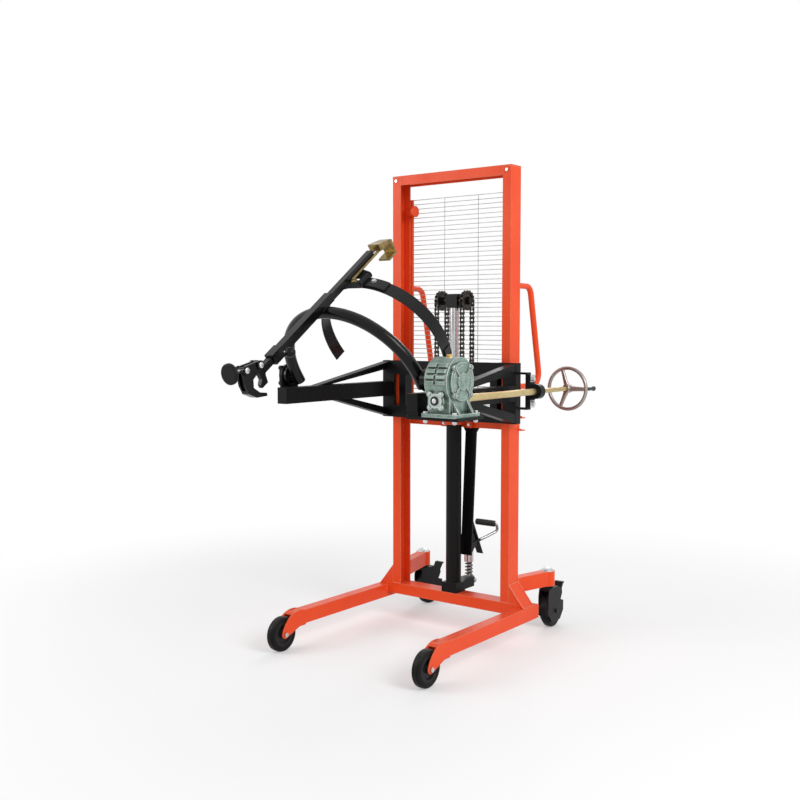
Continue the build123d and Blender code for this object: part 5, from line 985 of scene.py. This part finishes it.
# %% [markdown]
# ## Pump spring
#
# The return spring sits between the pump body and the plunger's head. It is a tube along a helix.

# %% Wind the spring
SPRING_LOW = 0.2196
SPRING_HIGH = 0.2804
SPRING_ROUND = 0.016
SPRING_WIRE = 0.003
SPRING_Y = 0.128
SPRING_TURNS = 4
TURN_POINTS = 40
spring = bmesh.new()
coil = []
for step in range(SPRING_TURNS * TURN_POINTS + 1):
    a = 2 * pi * step / TURN_POINTS
    z = SPRING_LOW + (SPRING_HIGH - SPRING_LOW) * step / (SPRING_TURNS * TURN_POINTS)
    coil.append((SPRING_ROUND * cos(a), SPRING_Y + SPRING_ROUND * sin(a), z))
add_tube(spring, coil, [SPRING_WIRE] * len(coil), 12)
spring_obj = piece("wound_spring", spring, chain_dark)
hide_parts("pump_spring")
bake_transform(spring_obj)
print("spring turns:", SPRING_TURNS)

# %% [markdown]
# ## Weld beads
#
# The base is welded from cut tube and plate, and the beads show as fine ripples under the paint at
# the gussets, rear arms and handles. A bead is a thin tube whose radius swells and shrinks along it.


# %% Lay the weld beads
BEAD_ROUND = 0.0028
BEAD_STEP = 0.0035
BEAD_THIN = 0.78
MAST_FRONT = -0.0402
MAST_BACK = 0.0412
GUSSET_EDGE = ((0.3205, 0.2525), (0.3965, 0.1575))
LEG_SEAM = ((0.3565, 0.1225), (0.3565, 0.157))
MAST_FOOT = ((0.320, 0.1712), (0.2775, 0.1712))
GUSSET_ENDS = ((0.3212, 0.2528), (0.3972, 0.1578))
GUSSET_HALF = 0.039
HANDLE_X = 0.2985
HANDLE_ROUND = 0.0142
HANDLE_ENDS = (1.566, 1.121)
HANDLE_POINTS = 16
ARM_SIDE = ((0.3215, 0.204), (0.3215, 0.268))
ARM_TOP = ((0.280, 0.2700), (0.319, 0.2700))
BEAM_FOOT = ((0.3212, 2.074), (0.2775, 2.074))


def add_bead(shell, points):
    for a, b in zip(points, points[1:]):
        start = Vector(a)
        end = Vector(b)
        count = max(3, int((end - start).length / BEAD_STEP))
        line = []
        radii = []
        for n in range(count * 2 + 1):
            line.append(start.lerp(end, n / (count * 2)))
            radii.append(BEAD_ROUND * (1.0 if n % 2 else BEAD_THIN))
        add_tube(shell, line, radii, 6)


def add_level_bead(shell, side, y, ends):
    """A straight bead at one depth, between two places (x, z) on the left or right side."""
    add_bead(shell, [(side * x, y, z) for x, z in ends])


beads = bmesh.new()
for side in (-1, 1):
    for y in (MAST_FRONT, -MAST_FRONT):
        for ends in (GUSSET_EDGE, LEG_SEAM, MAST_FOOT):
            add_level_bead(beads, side, y, ends)
    for x, z in GUSSET_ENDS:
        add_bead(beads, [(side * x, -GUSSET_HALF, z), (side * x, GUSSET_HALF, z)])
    for z in HANDLE_ENDS:
        ring = []
        for n in range(HANDLE_POINTS + 1):
            a = 2 * pi * n / HANDLE_POINTS
            ring.append((side * HANDLE_X + HANDLE_ROUND * cos(a), MAST_BACK, z + HANDLE_ROUND * sin(a)))
        add_bead(beads, ring)
    add_level_bead(beads, side, MAST_BACK, ARM_SIDE)
    add_level_bead(beads, side, MAST_BACK, ARM_TOP)
    add_level_bead(beads, side, MAST_FRONT, BEAM_FOOT)
# The beads wear the lighter orange, which is a painted highlight.
piece("frame_weld_beads", beads, weld_orange_highlit, "truck_frame")
print("weld beads on the frame made")

# %% [markdown]
# The hoop of the drum holder is welded to the square post that crosses it. The bead runs round the
# tube on both sides of the post and straight along the post's inner face.

# %% Weld the hoop to the post
POST_HALF = 0.0175
POST_INNER = 0.3355
HOOP_MIDDLE = 0.3195
HOOP_ROUND = 0.0242
ARC_HALF = 48
ARC_STEPS = 12
holder_beads = bmesh.new()
for side in (-1, 1):
    arc = []
    for step in range(ARC_STEPS + 1):
        a = radians(-ARC_HALF + 2 * ARC_HALF * step / ARC_STEPS)
        arc.append(held(side * POST_HALF, HOOP_MIDDLE + HOOP_ROUND * cos(a), HOOP_ROUND * sin(a)))
    add_bead(holder_beads, arc)
    level = side * HOOP_ROUND * sin(radians(ARC_HALF))
    add_bead(holder_beads, [held(-POST_HALF, POST_INNER, level), held(POST_HALF, POST_INNER, level)])
piece("holder_weld_beads", holder_beads, gloss_black, "drum_holder")
print("weld beads on the holder made")

# %% [markdown]
# ## Front tyres
#
# Each front tyre is a solid rubber ring on a cast core. It is a turned form: a loop of points is
# spun about the axle. The loop has a rounded crown, two fine grooves in the tread and a step in the
# side wall, which a plain ring lacks.

# %% Turn the front tyres
TYRE_AXLE = (0.381, -0.744, 0.075)
TYRE_HALF_LOOP = [
    (0.0155, 0.0521), (0.0180, 0.0540), (0.0180, 0.0612), (0.0170, 0.0620), (0.0170, 0.0634),
    (0.0179, 0.0642), (0.0176, 0.0684), (0.0162, 0.0714), (0.0134, 0.0736), (0.0102, 0.0745),
    (0.0094, 0.0736), (0.0082, 0.0736), (0.0074, 0.0748),
]
tyre_loop = TYRE_HALF_LOOP + [(0.0, 0.0750)]
tyre_loop += [(-reach, radius) for reach, radius in reversed(TYRE_HALF_LOOP)]
for side, label in ((1, "right"), (-1, "left")):
    ring = bmesh.new()
    place = (side * TYRE_AXLE[0], TYRE_AXLE[1], TYRE_AXLE[2])
    add_turned(ring, place, (1, 0, 0), tyre_loop, 72, loop=True)
    tyre_obj = piece("tread_tyre_" + label, ring, tyre, "front_roll_" + label)
    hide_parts("front_tyre_" + label)
print("points round the tyre's section:", len(tyre_loop))

# %% [markdown]
# ## Hand wheel
#
# The hand wheel is one aluminium casting: a rim with a nearly round section, three tapering spokes, a
# hub on the drive rod and a pin for the turning grip. Each limb is a loft, a row of rounded
# sections of changing width, so the spokes swell into the hub as they do on a casting.


# %% Cast the hand wheel
LIMB_SIDES = 20
LIMB_SQUARE = 0.7


def add_loft(shell, stations, side, other):
    """A limb through stations of (centre, half width, half depth), with a rounded square section."""
    rings = []
    for centre, wide, deep in stations:
        ring = []
        for step in range(LIMB_SIDES):
            a = 2 * pi * step / LIMB_SIDES
            c = cos(a)
            d = sin(a)
            across = wide * abs(c) ** LIMB_SQUARE * (1 if c > 0 else -1)
            along = deep * abs(d) ** LIMB_SQUARE * (1 if d > 0 else -1)
            ring.append(shell.verts.new(centre + side * across + other * along))
        rings.append(ring)
    skin(shell, rings)
    shell.faces.new(list(reversed(rings[0])))
    shell.faces.new(rings[-1])


WHEEL_CENTRE = Vector((0.455, 0.230, 1.110))
WHEEL_AXIS = Vector((0, 1, 0))
WHEEL_RIM = 0.0915
RIM_HALF_WIDE = 0.0082
RIM_HALF_DEEP = 0.0088
RIM_POINTS = 18
HUB_ROWS = [(-0.018, 0.0105), (-0.018, 0.0165), (-0.016, 0.0185), (0.012, 0.0205)]
HUB_ROWS += [(0.016, 0.0185), (0.018, 0.0150), (0.018, 0.0105)]
SPOKES = ((0, 0.0096), (107, 0.0078), (247, 0.0078))
SPOKE_START = 0.0135
SPOKE_END = WHEEL_RIM - 0.004
SPOKE_SWELL = 0.0040
SPOKE_DEEP = 0.0062
SPOKE_ROOT = 0.0020
GRIP_PIN_LONG = 0.070
GRIP_PIN_ROUND = 0.0049

rim_loop = []
for step in range(RIM_POINTS):
    a = 2 * pi * step / RIM_POINTS
    rim_loop.append((RIM_HALF_DEEP * sin(a), WHEEL_RIM + RIM_HALF_WIDE * cos(a)))
wheel = bmesh.new()
add_turned(wheel, WHEEL_CENTRE, WHEEL_AXIS, rim_loop, 96, loop=True)
add_turned(wheel, WHEEL_CENTRE, WHEEL_AXIS, HUB_ROWS, 40, loop=True)
for degrees_up, spoke_half in SPOKES:
    out = Vector((cos(radians(degrees_up)), 0, sin(radians(degrees_up))))
    stations = []
    for share in (0.0, 0.15, 0.4, 0.7, 1.0):
        centre = WHEEL_CENTRE + out * (SPOKE_START + (SPOKE_END - SPOKE_START) * share)
        wide = spoke_half + SPOKE_SWELL * (1 - share) ** 2
        stations.append((centre, wide, SPOKE_DEEP + SPOKE_ROOT * (1 - share)))
    add_loft(wheel, stations, out.cross(WHEEL_AXIS), WHEEL_AXIS)
pin_foot = WHEEL_CENTRE + Vector((WHEEL_RIM, 0, 0))
add_rod(wheel, pin_foot, pin_foot + WHEEL_AXIS * GRIP_PIN_LONG, GRIP_PIN_ROUND, 20)
wheel_obj = piece("cast_hand_wheel", wheel, wheel_alloy, "worm_drive")
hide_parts("hand_wheel")
print("hand wheel across:", round(2000 * (WHEEL_RIM + RIM_HALF_WIDE)), "mm")

# %% [markdown]
# ## Gearbox trim
#
# The side cover has a raised rim, and a sealed cap with a bright centre closes the front worm cover.

# %% Turn the rim and the seal cap
COVER_PLACE = (0.5148, -0.700, 1.180)
RIM_ROWS = [(0, 0.0560), (0.0016, 0.0566), (0.0024, 0.0580)]
RIM_ROWS += [(0.0024, 0.0600), (0.0016, 0.0614), (0, 0.0620)]
rim = bmesh.new()
add_turned(rim, COVER_PLACE, (1, 0, 0), RIM_ROWS, 64, loop=True)
piece("side_cover_rim", rim, hammer, "carriage")

CAP_PLACE = (0.455, -0.7948, 1.110)
CAP_CENTRE = (0.455, -0.7985, 1.110)
CENTRE_ROUND = 0.0096
CENTRE_RISE = 0.0030
CAP_ROWS = [(0, 0.0126), (0, 0.0170), (0.0040, 0.0170), (0.0055, 0.0155)]
CAP_ROWS += [(0.0055, 0.0105), (0.0040, 0.0100), (0.0040, 0)]
cap = bmesh.new()
add_turned(cap, CAP_PLACE, (0, -1, 0), CAP_ROWS, 40)
piece("worm_seal_cap", cap, knob, "carriage")
cap_centre = bmesh.new()
add_dome(cap_centre, CAP_CENTRE, (0, -1, 0), CENTRE_ROUND, CENTRE_RISE, 32)
piece("worm_seal_centre", cap_centre, bright, "carriage")
print("gearbox trim made")

# %% [markdown]
# ## Fasteners on the drum holder
#
# The jaw swings on a pin and holds its screw in a round boss. Both ends show a black collar with a
# bright domed pin. Each band has a bright bolt through its pad, near the hinge.

# %% Set the jaw collars and pins
JAW_SIDE = 0.0172
COLLAR_RISE = 0.0070
COLLAR_ROUND = 0.0170
PIN_HEAD_ROUND = 0.0112
PIN_HEAD_RISE = 0.0040
PIN_HOLE = 0.0056
PIN_GAP = 0.0004
COLLAR_EDGE = 0.001
JAW_PIVOT = (0.383, 0.413)
collars = bmesh.new()
boss_pins = bmesh.new()
pivot_pins = bmesh.new()
for side in (-1, 1):
    out = Vector((side, 0, 0))
    top = COLLAR_RISE
    wide = COLLAR_ROUND
    pivot = held(side * JAW_SIDE, *JAW_PIVOT)
    boss = held(side * JAW_SIDE, *JAW_BOSS)
    edge = [(0, wide), (top - COLLAR_EDGE, wide), (top, wide - COLLAR_EDGE)]
    add_turned(collars, pivot, out, [(0, PIN_HOLE)] + edge + [(top, PIN_HOLE)], 32, loop=True)
    add_turned(collars, boss, out, [(0, 0)] + edge + [(top, 0)], 32)
    add_dome(boss_pins, boss + out * top, out, PIN_HEAD_ROUND, PIN_HEAD_RISE)
    add_dome(pivot_pins, pivot + out * (top + PIN_GAP), out, PIN_HEAD_ROUND, PIN_HEAD_RISE)
piece("jaw_collars", collars, gloss_black, "jaw")
piece("jaw_screw_pins", boss_pins, bright, "jaw")
piece("jaw_pivot_pins", pivot_pins, bright, "clamp_slide")
print("collars on the jaw: 4")

# %% Bolt the bands
BAND_BOLT_ANGLE = radians(76)
BAND_BOLT_Z = -0.247
PAD_ROUND = 0.3055
BAND_BOLT_ACROSS = 0.017
BAND_BOLT_RISE = 0.008
for side, label in ((1, "right"), (-1, "left")):
    bolt = bmesh.new()
    x = side * cos(BAND_BOLT_ANGLE)
    y = sin(BAND_BOLT_ANGLE)
    place = held(x * PAD_ROUND, y * PAD_ROUND, BAND_BOLT_Z)
    add_bolt(bolt, place, held_way(x, y, 0), BAND_BOLT_ACROSS, BAND_BOLT_RISE)
    piece("band_bolt_" + label, bolt, bright, "band_" + label)
print("band bolts: 2")

# %% [markdown]
# ## Foot pump trim
#
# The foot bar wears a ribbed rubber sleeve with rounded ends. The pedal's pivot pin and the pump's
# side screw are bright, so each gets its own head over the painted solid.

# %% Fit the ribbed sleeve
SLEEVE_HALF = 0.052
SLEEVE_PLACE = (-SLEEVE_HALF, 0.272, 0.448)
SLEEVE_ROUND = 0.0150
GROOVE_ROUND = 0.0138
END_ROUND = 0.0118
SLEEVE_END = [(0, 0), (0, END_ROUND), (0.0012, GROOVE_ROUND), (0.004, SLEEVE_ROUND)]
SLEEVE_RIBS = 18
RIB_START = 0.007
RIB_WALL = 0.001
RIB_SHARES = ((0, GROOVE_ROUND), (0.35, GROOVE_ROUND), (0.5, SLEEVE_ROUND), (0.85, SLEEVE_ROUND))
rib_step = 2 * (SLEEVE_HALF - RIB_START) / SLEEVE_RIBS
rows = SLEEVE_END + [(RIB_START - RIB_WALL, SLEEVE_ROUND)]
for n in range(SLEEVE_RIBS):
    start = RIB_START + n * rib_step
    rows += [(start + rib_step * share, radius) for share, radius in RIB_SHARES]
rows += [(2 * SLEEVE_HALF - reach, radius) for reach, radius in reversed(SLEEVE_END)]
sleeve = bmesh.new()
add_turned(sleeve, SLEEVE_PLACE, (1, 0, 0), rows, 40)
sleeve_obj = piece("ribbed_sleeve", sleeve, grip_rubber, "pedal")
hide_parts("pedal_grip")
print("ribs on the sleeve:", SLEEVE_RIBS)

# %% Set the bright heads on the pump
PEDAL_PIN = (0.0296, 0.086, 0.362)
PEDAL_PIN_ROUND = 0.0082
PEDAL_PIN_RISE = 0.0042
PUMP_SCREW = (0.0192, 0.1511, 0.1935)
PUMP_SCREW_ACROSS = 0.0165
PUMP_SCREW_RISE = 0.0060
heads = bmesh.new()
for side in (-1, 1):
    place = (side * PEDAL_PIN[0], PEDAL_PIN[1], PEDAL_PIN[2])
    add_dome(heads, place, (side, 0, 0), PEDAL_PIN_ROUND, PEDAL_PIN_RISE)
add_bolt(heads, PUMP_SCREW, (1, 0, 0), PUMP_SCREW_ACROSS, PUMP_SCREW_RISE)
piece("pump_heads", heads, bright, "truck_frame")
print("bright heads on the pump: 3")

# %% [markdown]
# ## Bolts and studs on the mast
#
# Each painted chain anchor is held by one small bright bolt. Two short round studs stand on the outer
# face of the right upright, painted with it.

# %% Bolt the chain anchors
ANCHOR_FACE = 0.0178
ANCHOR_BOLT_Z = 0.942
ANCHOR_BOLT_ACROSS = 0.012
ANCHOR_BOLT_RISE = 0.006
anchor_bolts = bmesh.new()
for side in (-1, 1):
    place = (side * CHAIN_X, ANCHOR_FACE, ANCHOR_BOLT_Z)
    add_bolt(anchor_bolts, place, (0, -1, 0), ANCHOR_BOLT_ACROSS, ANCHOR_BOLT_RISE)
piece("anchor_bolts", anchor_bolts, bright, "truck_frame")
print("bolts on the chain anchors: 2")

# %% Weld on the studs
STUD_X = 0.3195
STUD_Y = 0.030
STUD_HEIGHTS = (0.990, 0.933)
STUD_ROWS = [(0, 0), (0, 0.0062), (0.0025, 0.0045), (0.0190, 0.0045), (0.0210, 0.0034), (0.0210, 0)]
studs = bmesh.new()
for z in STUD_HEIGHTS:
    add_turned(studs, (STUD_X, STUD_Y, z), (1, 0, 0), STUD_ROWS, 24)
piece("mast_studs", studs, orange, "truck_frame")
print("studs on the mast: 2")
